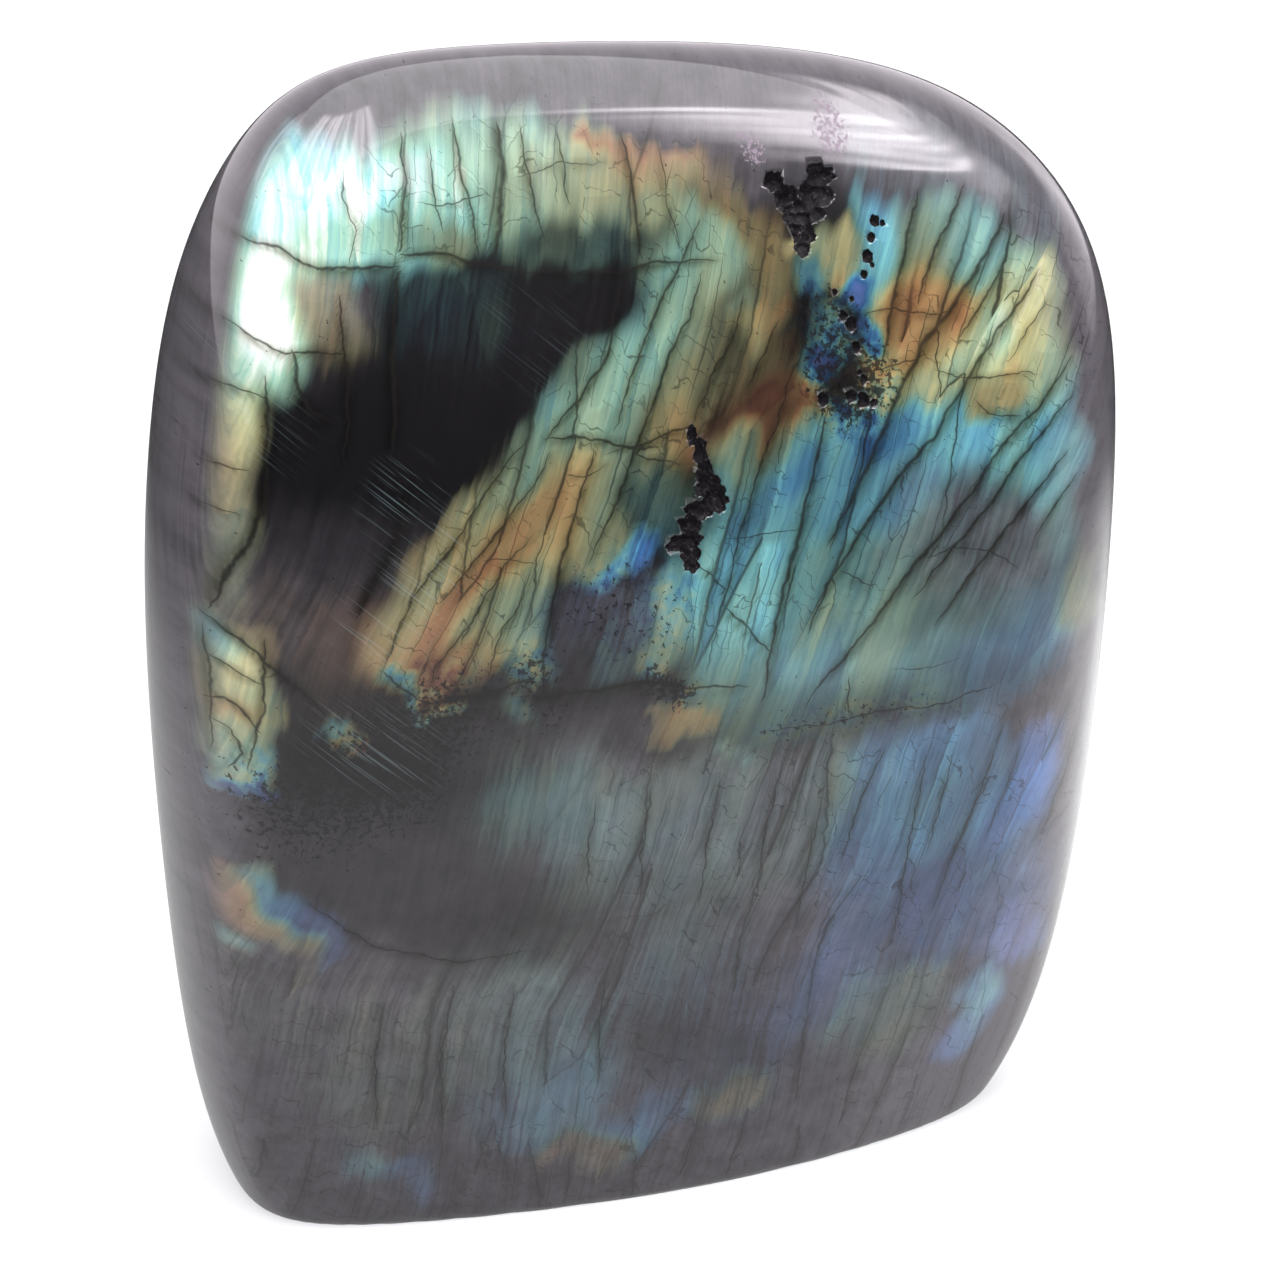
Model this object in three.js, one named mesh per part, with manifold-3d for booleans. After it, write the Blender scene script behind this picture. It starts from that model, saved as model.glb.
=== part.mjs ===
// Labradorite freeform: one upright slab of polished feldspar, ground by hand into soft facets
// that blend into each other, sawn flat underneath so that it stands, with natural pits left
// open in its front. Millimetres, +Z up, front towards -Y, origin at the middle of the base.

import * as THREE from 'three';
import { mergeVertices } from 'three/addons/utils/BufferGeometryUtils.js';
import Module from 'manifold-3d';

// Driving dimensions of the polished body.
const CENTRE_HEIGHT = 70; // the facets are measured from this height above the base
const BLEND = 10; // how crisply neighbouring facets meet: a higher power is crisper
const BODY_STEPS = 17; // subdivisions of the ball that is pressed onto the facets
const BALL_STRETCH = new THREE.Vector3(60, 28, 72); // spreads the ball's corners over the slab

// The sawn base.
const SAW_HALF_WIDTH = 100; // a block this far out each way removes all that is below z = 0
const SAW_DEPTH = 60;

// The pits.
const FRONT_SEARCH = 60; // the front surface is looked for between here and the middle
const SEARCH_HALVINGS = 40;
const LUMP_STEPS = 2;
const PINHOLE_STEPS = 1;
const LUMP_ROUGHNESS = 0.16; // how far a lump's wall wanders from a smooth ball
const LUMP_WAVES = 5; // how fast it wanders
const PINHOLE_DEPTH = 1.1; // depth of a pinhole as a share of its radius

// Soft facets: [azimuth, elevation, distance from the centre]. Azimuth 0 faces the front, 90
// the right-hand side as seen from the front, 180 the back and -90 the left-hand side.
const FRONT_FACETS = [
  [0, 2, 27],
  [-8, -13, 34.5],
  [10, -13, 35.5],
  [0, 24, 37],
  [0, 46, 57.5],
];
const BACK_FACETS = [
  [180, 2, 26],
  [180, -13, 34.5],
  [180, 24, 35],
  [180, 46, 56],
];
const RIGHT_FACETS = [
  [90, -50, 97],
  [90, -12, 80],
  [90, -3, 58.5],
  [90, 30, 75],
  [90, 56, 77.5],
  [90, 80, 75],
];
const LEFT_FACETS = [
  [-90, -62, 101],
  [-90, -5, 61.5],
  [-90, 20, 66],
  [-90, 43, 97],
  [-90, 66, 104],
];
const CORNER_FACETS = [
  [50, 0, 56],
  [-50, 0, 54],
  [130, 0, 55],
  [-130, 0, 53.5],
  [50, -40, 85],
  [-50, -40, 89],
  [130, -40, 85],
  [-130, -40, 89],
];
const UNDERSIDE_FACETS = [[0, -90, 96]];

// Pits in the front, each a chain of overlapping lumps: [x, z, half width, half height, depth].
const HEART_PIT = [
  [11.9, 124.6, 1.2, 1.3, 1.3],
  [13.0, 122.8, 1.6, 1.8, 1.8],
  [17.4, 124.7, 1.8, 1.3, 1.5],
  [16.3, 123.0, 1.9, 1.6, 2.0],
  [14.5, 121.2, 2.2, 1.6, 2.2],
  [14.3, 119.3, 1.6, 1.5, 1.8],
  [13.9, 117.8, 0.9, 1.0, 1.2],
];
const BRANCHING_PIT = [
  [-1.4, 99.6, 0.6, 1.2, 0.8],
  [-0.5, 97.6, 0.8, 1.8, 1.2],
  [-0.1, 95.2, 1.0, 1.6, 1.5],
  [0.2, 93.6, 1.4, 1.4, 1.8],
  [1.0, 92.0, 1.7, 1.5, 1.9],
  [-0.8, 91.1, 1.7, 1.1, 1.7],
  [-2.1, 89.5, 1.4, 1.3, 1.6],
  [-2.9, 87.6, 2.0, 1.2, 1.9],
  [-2.1, 86.0, 1.1, 1.4, 1.4],
  [-2.0, 84.8, 0.9, 0.9, 1.1],
];

// Pinholes trailing down from the heart-shaped pit: [x, z, radius].
const PINHOLES = [
  [23.0, 119.7, 0.7],
  [22.2, 118.1, 0.6],
  [21.5, 116.2, 0.8],
  [20.8, 114.4, 0.5],
  [17.7, 110.4, 0.6],
  [18.5, 109.4, 0.8],
  [18.8, 107.0, 0.7],
  [19.4, 103.4, 0.6],
  [14.4, 101.8, 0.8],
  [17.8, 101.7, 0.8],
  [19.2, 101.1, 0.9],
];

const wasm = await Module();
wasm.setup();

// The unit vector that a facet faces along.
function facetDirection(azimuth, elevation) {
  const turn = THREE.MathUtils.degToRad(azimuth);
  const rise = THREE.MathUtils.degToRad(elevation);
  return new THREE.Vector3(
    Math.sin(turn) * Math.cos(rise),
    -Math.cos(turn) * Math.cos(rise),
    Math.sin(rise),
  );
}

const facets = [
  ...FRONT_FACETS,
  ...BACK_FACETS,
  ...RIGHT_FACETS,
  ...LEFT_FACETS,
  ...CORNER_FACETS,
  ...UNDERSIDE_FACETS,
].map(([azimuth, elevation, distance]) => ({
  direction: facetDirection(azimuth, elevation),
  distance,
}));

// How far out a point is, measured from the body's centre: 1 on the polished surface.
function reach(point) {
  let sum = 0;
  for (const { direction, distance } of facets) {
    sum += Math.max(0, point.dot(direction) / distance) ** BLEND;
  }
  return sum ** (1 / BLEND);
}

// A ball with shared corners, ready to be reshaped into a closed solid.
function ball(steps) {
  const geometry = new THREE.IcosahedronGeometry(1, steps);
  geometry.deleteAttribute('normal');
  geometry.deleteAttribute('uv');
  return mergeVertices(geometry);
}

// Moves every corner of a geometry to where the given function sends it.
function reshape(geometry, move) {
  const position = geometry.attributes.position;
  const corner = new THREE.Vector3();
  for (let i = 0; i < position.count; i += 1) {
    corner.fromBufferAttribute(position, i);
    move(corner);
    position.setXYZ(i, corner.x, corner.y, corner.z);
  }
  return geometry;
}

// The polished body before it is sawn: a ball whose corners lie where the reach is 1.
function polishedBody() {
  const geometry = reshape(ball(BODY_STEPS), (corner) => {
    corner.multiply(BALL_STRETCH);
    corner.divideScalar(reach(corner));
  });
  return geometry.translate(0, 0, CENTRE_HEIGHT);
}

function toSolid(geometry) {
  const mesh = new wasm.Mesh({
    numProp: 3,
    vertProperties: new Float32Array(geometry.attributes.position.array),
    triVerts: new Uint32Array(geometry.index.array),
  });
  return new wasm.Manifold(mesh);
}

function toGeometry(solid) {
  const mesh = solid.getMesh();
  const geometry = new THREE.BufferGeometry();
  geometry.setAttribute('position', new THREE.BufferAttribute(mesh.vertProperties, 3));
  geometry.setIndex(new THREE.BufferAttribute(mesh.triVerts, 1));
  return geometry;
}

// The block of rock that the saw takes off below the base.
function sawnAway() {
  const width = 2 * SAW_HALF_WIDTH;
  const geometry = new THREE.BoxGeometry(width, width, SAW_DEPTH);
  geometry.deleteAttribute('normal');
  geometry.deleteAttribute('uv');
  return toSolid(mergeVertices(geometry.translate(0, 0, -SAW_DEPTH / 2)));
}

// The y of the polished front surface at a given x and z, found by halving. The shift is how
// far the body was moved to stand it over the middle of its base.
function frontSurface(x, z, shift) {
  const point = new THREE.Vector3();
  let outside = -FRONT_SEARCH;
  let inside = 0;
  for (let i = 0; i < SEARCH_HALVINGS; i += 1) {
    const y = (outside + inside) / 2;
    point.set(x - shift.x, y - shift.y, z - CENTRE_HEIGHT);
    if (reach(point) > 1) {
      outside = y;
    } else {
      inside = y;
    }
  }
  return inside;
}

// A crumbly lump: a ball whose wall wanders in and out, set into the front surface.
function lump(x, z, halfWidth, halfHeight, depth, steps, shift) {
  const geometry = reshape(ball(steps), (corner) => {
    const across = Math.sin(LUMP_WAVES * corner.x + x);
    const upward = Math.sin(LUMP_WAVES * corner.z + z);
    const inward = Math.cos(LUMP_WAVES * corner.y);
    corner.multiplyScalar(1 + LUMP_ROUGHNESS * across * upward * inward);
  });
  geometry.scale(halfWidth, depth, halfHeight);
  geometry.translate(x, frontSurface(x, z, shift), z);
  return toSolid(geometry);
}

// Every pit and pinhole, joined into one cutter.
function pitCutter(shift) {
  const lumps = [...HEART_PIT, ...BRANCHING_PIT].map(([x, z, halfWidth, halfHeight, depth]) =>
    lump(x, z, halfWidth, halfHeight, depth, LUMP_STEPS, shift),
  );
  const pinholes = PINHOLES.map(([x, z, radius]) =>
    lump(x, z, radius, radius, PINHOLE_DEPTH * radius, PINHOLE_STEPS, shift),
  );
  return [...lumps, ...pinholes].reduce((joined, next) => joined.add(next));
}

// The stone: the polished body, sawn flat, centred in width and depth, and pitted.
function stoneGeometry() {
  const sawn = toGeometry(toSolid(polishedBody()).subtract(sawnAway()));
  sawn.computeBoundingBox();
  const shift = sawn.boundingBox.getCenter(new THREE.Vector3()).setZ(0).negate();
  sawn.translate(shift.x, shift.y, 0);
  return toGeometry(toSolid(sawn).subtract(pitCutter(shift)));
}

const polishedStone = new THREE.MeshStandardMaterial({
  color: '#4f5d60',
  roughness: 0.12,
  metalness: 0,
});

const stone = new THREE.Mesh(stoneGeometry(), polishedStone);
stone.name = 'stone';

const group = new THREE.Group();
group.add(stone);

export default group;
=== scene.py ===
"""A polished labradorite freeform standing on its sawn base.

The stone is ground from soft facets by a Geometry Nodes tree, which also opens its pits. Its
flashes of colour are laid on as soft strokes in the plane of the front face, and the
grain, the splinters, the cracks and the grit are worked out from that plane by shader nodes.
The stone and the camera are laid out in millimetres, the floor and the lamp in metres.
"""

from __future__ import annotations

import logging
import math
from dataclasses import dataclass, field
from enum import Enum
from typing import ClassVar, Sequence, Union

import bpy
import numpy as np
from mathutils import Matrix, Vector

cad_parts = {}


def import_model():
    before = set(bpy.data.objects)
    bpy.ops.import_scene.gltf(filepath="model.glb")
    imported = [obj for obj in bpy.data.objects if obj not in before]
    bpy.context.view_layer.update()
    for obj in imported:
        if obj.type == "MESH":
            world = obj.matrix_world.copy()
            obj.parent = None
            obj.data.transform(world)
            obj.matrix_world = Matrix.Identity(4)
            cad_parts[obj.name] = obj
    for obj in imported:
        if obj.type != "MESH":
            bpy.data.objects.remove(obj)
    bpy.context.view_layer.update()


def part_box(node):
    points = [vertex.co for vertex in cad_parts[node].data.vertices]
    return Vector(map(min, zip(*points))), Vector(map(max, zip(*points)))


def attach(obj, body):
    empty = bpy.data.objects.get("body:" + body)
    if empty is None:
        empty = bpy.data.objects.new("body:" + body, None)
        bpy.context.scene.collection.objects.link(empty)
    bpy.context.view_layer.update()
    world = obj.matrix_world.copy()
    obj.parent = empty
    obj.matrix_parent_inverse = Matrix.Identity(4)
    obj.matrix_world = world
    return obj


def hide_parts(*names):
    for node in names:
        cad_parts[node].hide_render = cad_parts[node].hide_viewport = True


LOG = logging.getLogger("freeform")
MM = 0.001
CRUST_MARK = "crust"
FLOAT = "NodeSocketFloat"

Array = np.ndarray
Node = bpy.types.Node
Socket = bpy.types.NodeSocket
Fed = Union[Socket, float, int, bool, Sequence[float]]
Span = tuple[float, float]
Everyday = tuple[int, int, int]
Light = tuple[float, float, float, float]
Veils = tuple[tuple[float, tuple[tuple[float, float, float, float], ...]], ...]


class Slot(Enum):
    """Material slots of the record."""

    LABRADORITE = "labradorite"


class Layer(Enum):
    """Fields that are worked out for every vertex and read by the stone's materials."""

    HUE = "flash_hue"
    GLOW = "flash_glow"
    MILK = "milk"
    GRIT = "grit"
    NEEDLES = "needles"
    FROST = "frost"
    ACROSS = "grain_across"
    ALONG = "grain_along"
    FACE = "face"
    CLOUD = "cloud"
    FICKLE = "fickle"
    SHADE = "crack_shade"
    CRACKED = "cracked"
    LONG_SIDE = "long_crack_side"
    LONG_AWAY = "long_crack_away"
    LONG_WIDTH = "long_crack_width"
    CROSS_SIDE = "cross_crack_side"
    CROSS_AWAY = "cross_crack_away"
    CROSS_WIDTH = "cross_crack_width"


# For the cracks along and across the grain: side, distance away and width.
CRACK_LAYERS: tuple[tuple[Layer, Layer, Layer], ...] = (
    (Layer.LONG_SIDE, Layer.LONG_AWAY, Layer.LONG_WIDTH),
    (Layer.CROSS_SIDE, Layer.CROSS_AWAY, Layer.CROSS_WIDTH),
)


# --- Node building ---


class Bench:
    """Places nodes in one tree and feeds them, so that a formula reads as calls."""

    def __init__(self, tree: bpy.types.NodeTree) -> None:
        """Keeps the tree that the nodes go into.

        Args:
            tree: A shader or geometry node tree.
        """
        self.tree = tree
        self.fields: dict[Layer, Socket] = {}

    def feed(self, socket: Socket, value: Fed) -> None:
        """Links a socket, or sets its own value.

        Args:
            socket: The input to feed.
            value: An output to link from, or a plain value.
        """
        if isinstance(value, bpy.types.NodeSocket):
            self.tree.links.new(value, socket)
        else:
            socket.default_value = value

    def place(self, kind: str, feeds: dict | None = None, **settings: object) -> Node:
        """Adds a node.

        Args:
            kind: The node's type name.
            feeds: Values by input name or number.
            settings: Properties of the node itself.

        Returns:
            The new node.
        """
        node = self.tree.nodes.new(kind)
        for name, value in settings.items():
            setattr(node, name, value)
        for key, value in (feeds or {}).items():
            self.feed(node.inputs[key], value)
        return node

    def math(self, operation: str, *values: Fed, clamp: bool = False) -> Socket:
        """Adds a Math node.

        Args:
            operation: What it works out.
            values: Its inputs, in order.
            clamp: Whether the result is held to 0 to 1.

        Returns:
            The result.
        """
        node = self.place("ShaderNodeMath", dict(enumerate(values)), operation=operation)
        node.use_clamp = clamp
        return node.outputs[0]

    def product(self, first: Fed, *others: Fed) -> Socket:
        """Multiplies values.

        Args:
            first: The first value.
            others: The values it is multiplied by.

        Returns:
            The product.
        """
        total = first
        for value in others:
            total = self.math("MULTIPLY", total, value)
        return total

    def centred(self, value: Fed) -> Socket:
        """Returns a value of 0 to 1 moved to lie about nought."""
        return self.math("SUBTRACT", value, 0.5)

    def vector(self, operation: str, *values: Fed) -> Socket:
        """Adds a Vector Math node that gives a vector and returns it."""
        node = self.place("ShaderNodeVectorMath", dict(enumerate(values)), operation=operation)
        return node.outputs["Vector"]

    def measure(self, operation: str, *values: Fed) -> Socket:
        """Adds a Vector Math node that gives a number and returns it."""
        node = self.place("ShaderNodeVectorMath", dict(enumerate(values)), operation=operation)
        return node.outputs["Value"]

    def scaled(self, vector: Fed, factor: Fed) -> Socket:
        """Returns a vector times a number."""
        node = self.place("ShaderNodeVectorMath", {0: vector, "Scale": factor}, operation="SCALE")
        return node.outputs["Vector"]

    def join(self, x: Fed, y: Fed, z: Fed) -> Socket:
        """Returns a vector made of three numbers."""
        return self.place("ShaderNodeCombineXYZ", {0: x, 1: y, 2: z}).outputs[0]

    def stretched(self, x: Fed, y: Fed, factors: Span) -> Socket:
        """Returns a flat vector of two numbers, each times its own factor."""
        return self.join(self.math("MULTIPLY", x, factors[0]), self.math("MULTIPLY", y, factors[1]), 0.0)

    def split(self, vector: Fed) -> tuple[Socket, Socket, Socket]:
        """Returns a vector's three numbers."""
        return tuple(self.place("ShaderNodeSeparateXYZ", {0: vector}).outputs)

    def ease(self, value: Fed, low: Fed, high: Fed, start: Fed = 0.0, end: Fed = 1.0) -> Socket:
        """Eases from start to end as a value goes from low to high, and stays there.

        Args:
            value: The value looked at.
            low: Where the change starts.
            high: Where the change ends.
            start: The result up to low.
            end: The result from high on.

        Returns:
            The eased number.
        """
        feeds = {"Value": value, 1: low, 2: high, 3: start, 4: end}
        node = self.place("ShaderNodeMapRange", feeds, interpolation_type="SMOOTHSTEP")
        return node.outputs["Result"]

    def remap(self, value: Fed, low: float, high: float, start: float, end: float) -> Socket:
        """Returns a value moved straight from one range to another, clamped."""
        feeds = {"Value": value, 1: low, 2: high, 3: start, 4: end}
        return self.place("ShaderNodeMapRange", feeds).outputs["Result"]

    def blend(self, factor: Fed, first: Fed, second: Fed, mode: str = "MIX") -> Socket:
        """Mixes two colours.

        Args:
            factor: How much of the second colour shows.
            first: The colour below.
            second: The colour above.
            mode: The blend type.

        Returns:
            The mixed colour.
        """
        node = self.place("ShaderNodeMix", data_type="RGBA", blend_type=mode)
        self.feed(node.inputs["Factor"], factor)
        self.feed(node.inputs[6], first)
        self.feed(node.inputs[7], second)
        return node.outputs[2]

    def noise(
        self, point: Fed, scale: float, detail: float, rough: float, flat: bool = False
    ) -> Socket:
        """Adds a Noise texture.

        Args:
            point: Where to read it.
            scale: Its scale.
            detail: How many finer layers it has.
            rough: How strong those are.
            flat: Whether it only looks at x and y, which is quicker.

        Returns:
            Values about 0.5.
        """
        feeds = {"Vector": point, "Scale": scale, "Detail": detail, "Roughness": rough}
        kind = "2D" if flat else "3D"
        return self.place("ShaderNodeTexNoise", feeds, noise_dimensions=kind).outputs["Fac"]

    def field(self, layer: Layer) -> Socket:
        """Returns one of the stone's own vertex fields, which a tree reads only once."""
        if layer not in self.fields:
            node = self.place("ShaderNodeAttribute", attribute_name=layer.value)
            self.fields[layer] = node.outputs["Fac"]
        return self.fields[layer]


@dataclass
class Group:
    """A node group with named inputs and outputs, ready to be filled and placed."""

    name: str
    kind: str
    inputs: dict[str, tuple[str, Fed | None]]
    outputs: dict[str, str]
    tree: bpy.types.NodeTree = field(init=False)
    bench: Bench = field(init=False)

    def __post_init__(self) -> None:
        """Makes the tree and its sockets."""
        self.tree = bpy.data.node_groups.new(self.name, self.kind)
        self.bench = Bench(self.tree)
        for name, (socket_type, value) in self.inputs.items():
            made = self.tree.interface.new_socket(name, in_out="INPUT", socket_type=socket_type)
            if value is not None:
                made.default_value = value
        for name, socket_type in self.outputs.items():
            self.tree.interface.new_socket(name, in_out="OUTPUT", socket_type=socket_type)
        self._into = self.tree.nodes.new("NodeGroupInput")
        self._out = self.tree.nodes.new("NodeGroupOutput")

    def given(self, name: str) -> Socket:
        """Returns the socket that carries one of the group's inputs."""
        return self._into.outputs[name]

    def give(self, name: str, value: Socket) -> None:
        """Sends a result out of the group."""
        self.tree.links.new(value, self._out.inputs[name])

    def identifier(self, name: str) -> str:
        """Returns the identifier by which a modifier sets one of the inputs."""
        return next(s.identifier for s in self.tree.interface.items_tree if s.name == name)

    def placed(self, bench: Bench, feeds: dict[str, Fed]) -> Node:
        """Places the group in another tree.

        Args:
            bench: The tree to place it in.
            feeds: Values by input name.

        Returns:
            The group node.
        """
        kind = "ShaderNodeGroup" if self.kind == "ShaderNodeTree" else "GeometryNodeGroup"
        return bench.place(kind, feeds, node_tree=self.tree)


# --- The stone's shape ---


@dataclass(frozen=True)
class Facet:
    """One soft facet: where it faces and how far it lies from the body's centre."""

    azimuth: float
    elevation: float
    distance: float

    def direction(self) -> Array:
        """Returns the unit vector that the facet faces along."""
        turn = math.radians(self.azimuth)
        rise = math.radians(self.elevation)
        flat = math.cos(rise)
        return np.array([math.sin(turn) * flat, -math.cos(turn) * flat, math.sin(rise)])


FACETS: tuple[Facet, ...] = (
    # front
    Facet(0, 2, 27),
    Facet(-8, -13, 34.5),
    Facet(10, -13, 35.5),
    Facet(0, 24, 37),
    Facet(0, 46, 57.5),
    # back
    Facet(180, 2, 26),
    Facet(180, -13, 34.5),
    Facet(180, 24, 35),
    Facet(180, 46, 56),
    # right
    Facet(90, -50, 97),
    Facet(90, -12, 80),
    Facet(90, -3, 58.5),
    Facet(90, 30, 75),
    Facet(90, 56, 77.5),
    Facet(90, 80, 75),
    # left
    Facet(-90, -62, 101),
    Facet(-90, -5, 61.5),
    Facet(-90, 20, 66),
    Facet(-90, 43, 97),
    Facet(-90, 66, 104),
    # corners and underside
    Facet(50, 0, 56),
    Facet(-50, 0, 54),
    Facet(130, 0, 55),
    Facet(-130, 0, 53.5),
    Facet(50, -40, 85),
    Facet(-50, -40, 89),
    Facet(130, -40, 85),
    Facet(-130, -40, 89),
    Facet(0, -90, 96),
)


@dataclass(frozen=True)
class Lump:
    """One lump of rock that has crumbled out of the front and left part of a pit."""

    x: float
    z: float
    half_width: float
    half_height: float
    depth: float


HEART_PIT: tuple[Lump, ...] = (
    Lump(11.9, 124.6, 1.2, 1.3, 1.3),
    Lump(13.0, 122.8, 1.6, 1.8, 1.8),
    Lump(17.4, 124.7, 1.8, 1.3, 1.5),
    Lump(16.3, 123.0, 1.9, 1.6, 2.0),
    Lump(14.5, 121.2, 2.2, 1.6, 2.2),
    Lump(14.3, 119.3, 1.6, 1.5, 1.8),
    Lump(13.9, 117.8, 0.9, 1.0, 1.2),
)
BRANCHING_PIT: tuple[Lump, ...] = (
    Lump(-1.4, 99.6, 0.6, 1.2, 0.8),
    Lump(-0.5, 97.6, 0.8, 1.8, 1.2),
    Lump(-0.1, 95.2, 1.0, 1.6, 1.5),
    Lump(0.2, 93.6, 1.4, 1.4, 1.8),
    Lump(1.0, 92.0, 1.7, 1.5, 1.9),
    Lump(-0.8, 91.1, 1.7, 1.1, 1.7),
    Lump(-2.1, 89.5, 1.4, 1.3, 1.6),
    Lump(-2.9, 87.6, 2.0, 1.2, 1.9),
    Lump(-2.1, 86.0, 1.1, 1.4, 1.4),
    Lump(-2.0, 84.8, 0.9, 0.9, 1.1),
)
PINHOLES: tuple[Lump, ...] = tuple(
    Lump(x, z, 0.85 * radius, radius, 1.1 * radius)
    for x, z, radius in (
        (23.0, 119.7, 0.7),
        (22.2, 118.1, 0.6),
        (21.5, 116.2, 0.8),
        (20.8, 114.4, 0.5),
        (17.7, 110.4, 0.6),
        (18.5, 109.4, 0.8),
        (18.8, 107.0, 0.7),
        (19.4, 103.4, 0.6),
        (14.4, 101.8, 0.8),
        (17.8, 101.7, 0.8),
        (19.2, 101.1, 0.9),
        (17.0, 112.9, 0.4),
        (18.9, 112.0, 0.35),
        (20.4, 100.7, 0.5),
        (19.0, 104.2, 0.35),
        (21.9, 115.3, 0.35),
        (23.9, 119.4, 0.4),
    )
)


@dataclass
class PolishedBody:
    """The stone's surface: where a blend of its soft facets lies, flat under its base."""

    facets: tuple[Facet, ...] = FACETS
    blend: float = 10.0
    centre_height: float = 70.0
    base_edge: float = 2.0
    half_sizes: tuple[float, float, float] = (58.0, 22.0, 84.0)
    columns: int = 158
    layers: int = 40
    rows: int = 184
    front_search: float = 60.0
    halvings: int = 30

    def reach(self, points: Array) -> Array:
        """Measures how far out points are, seen from the body's centre.

        Args:
            points: An array of points about the centre, one a row.

        Returns:
            One number a point: 1 on the polished surface, and less inside.
        """
        total = np.zeros(len(points))
        for facet in self.facets:
            height = points @ facet.direction() / facet.distance
            total += np.maximum(height, 0.0) ** self.blend
        return total ** (1.0 / self.blend)

    def normals(self, points: Array) -> Array:
        """Gives the surface's outward direction at points.

        Args:
            points: An array of points about the centre, one a row.

        Returns:
            One unit vector a point.
        """
        total = np.zeros_like(points)
        for facet in self.facets:
            height = points @ facet.direction() / facet.distance
            share = np.maximum(height, 0.0) ** (self.blend - 1.0) / facet.distance
            total += share[:, None] * facet.direction()
        return total / np.maximum(np.linalg.norm(total, axis=1, keepdims=True), 1e-12)

    def shift(self) -> Array:
        """Finds how far the body moves to stand centred in width and depth.

        Returns:
            The shift in x, y and z.
        """
        turns = np.radians(np.arange(0, 360, 1.0))
        rises = np.radians(np.arange(-60, 60, 1.0))
        turn, rise = (grid.ravel() for grid in np.meshgrid(turns, rises))
        level = np.cos(rise)
        ways = np.stack([np.sin(turn) * level, np.cos(turn) * level, np.sin(rise)], axis=1)
        points = ways / self.reach(ways)[:, None]
        standing = points[points[:, 2] > -self.centre_height]
        middle = (standing.min(axis=0) + standing.max(axis=0)) / 2
        return np.array([-middle[0], -middle[1], 0.0])

    def front(self, x: float, z: float, shift: Array) -> float:
        """Finds the front surface by halving.

        Args:
            x: Place across the front.
            z: Height above the base.
            shift: How far the body was moved.

        Returns:
            The surface's y there.
        """
        outside, inside = -self.front_search, 0.0
        for _ in range(self.halvings):
            y = (outside + inside) / 2
            point = np.array([[x, y, z]]) - shift - (0, 0, self.centre_height)
            if self.reach(point)[0] > 1:
                outside = y
            else:
                inside = y
        return inside

    def formula(self, bench: Bench, point: Socket, blend: Socket) -> Socket:
        """Lays out the reach of a point, in metres, as nodes.

        Args:
            bench: The tree to build in.
            point: The point about the centre.
            blend: How crisply facets meet.

        Returns:
            The reach.
        """
        total: Fed = 0.0
        for facet in self.facets:
            steep = facet.direction() / (facet.distance * MM)
            height = bench.measure("DOT_PRODUCT", point, tuple(steep))
            part = bench.math("POWER", bench.math("MAXIMUM", height, 0.0), blend)
            total = bench.math("ADD", total, part)
        return bench.math("POWER", total, bench.math("DIVIDE", 1.0, blend))


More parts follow.
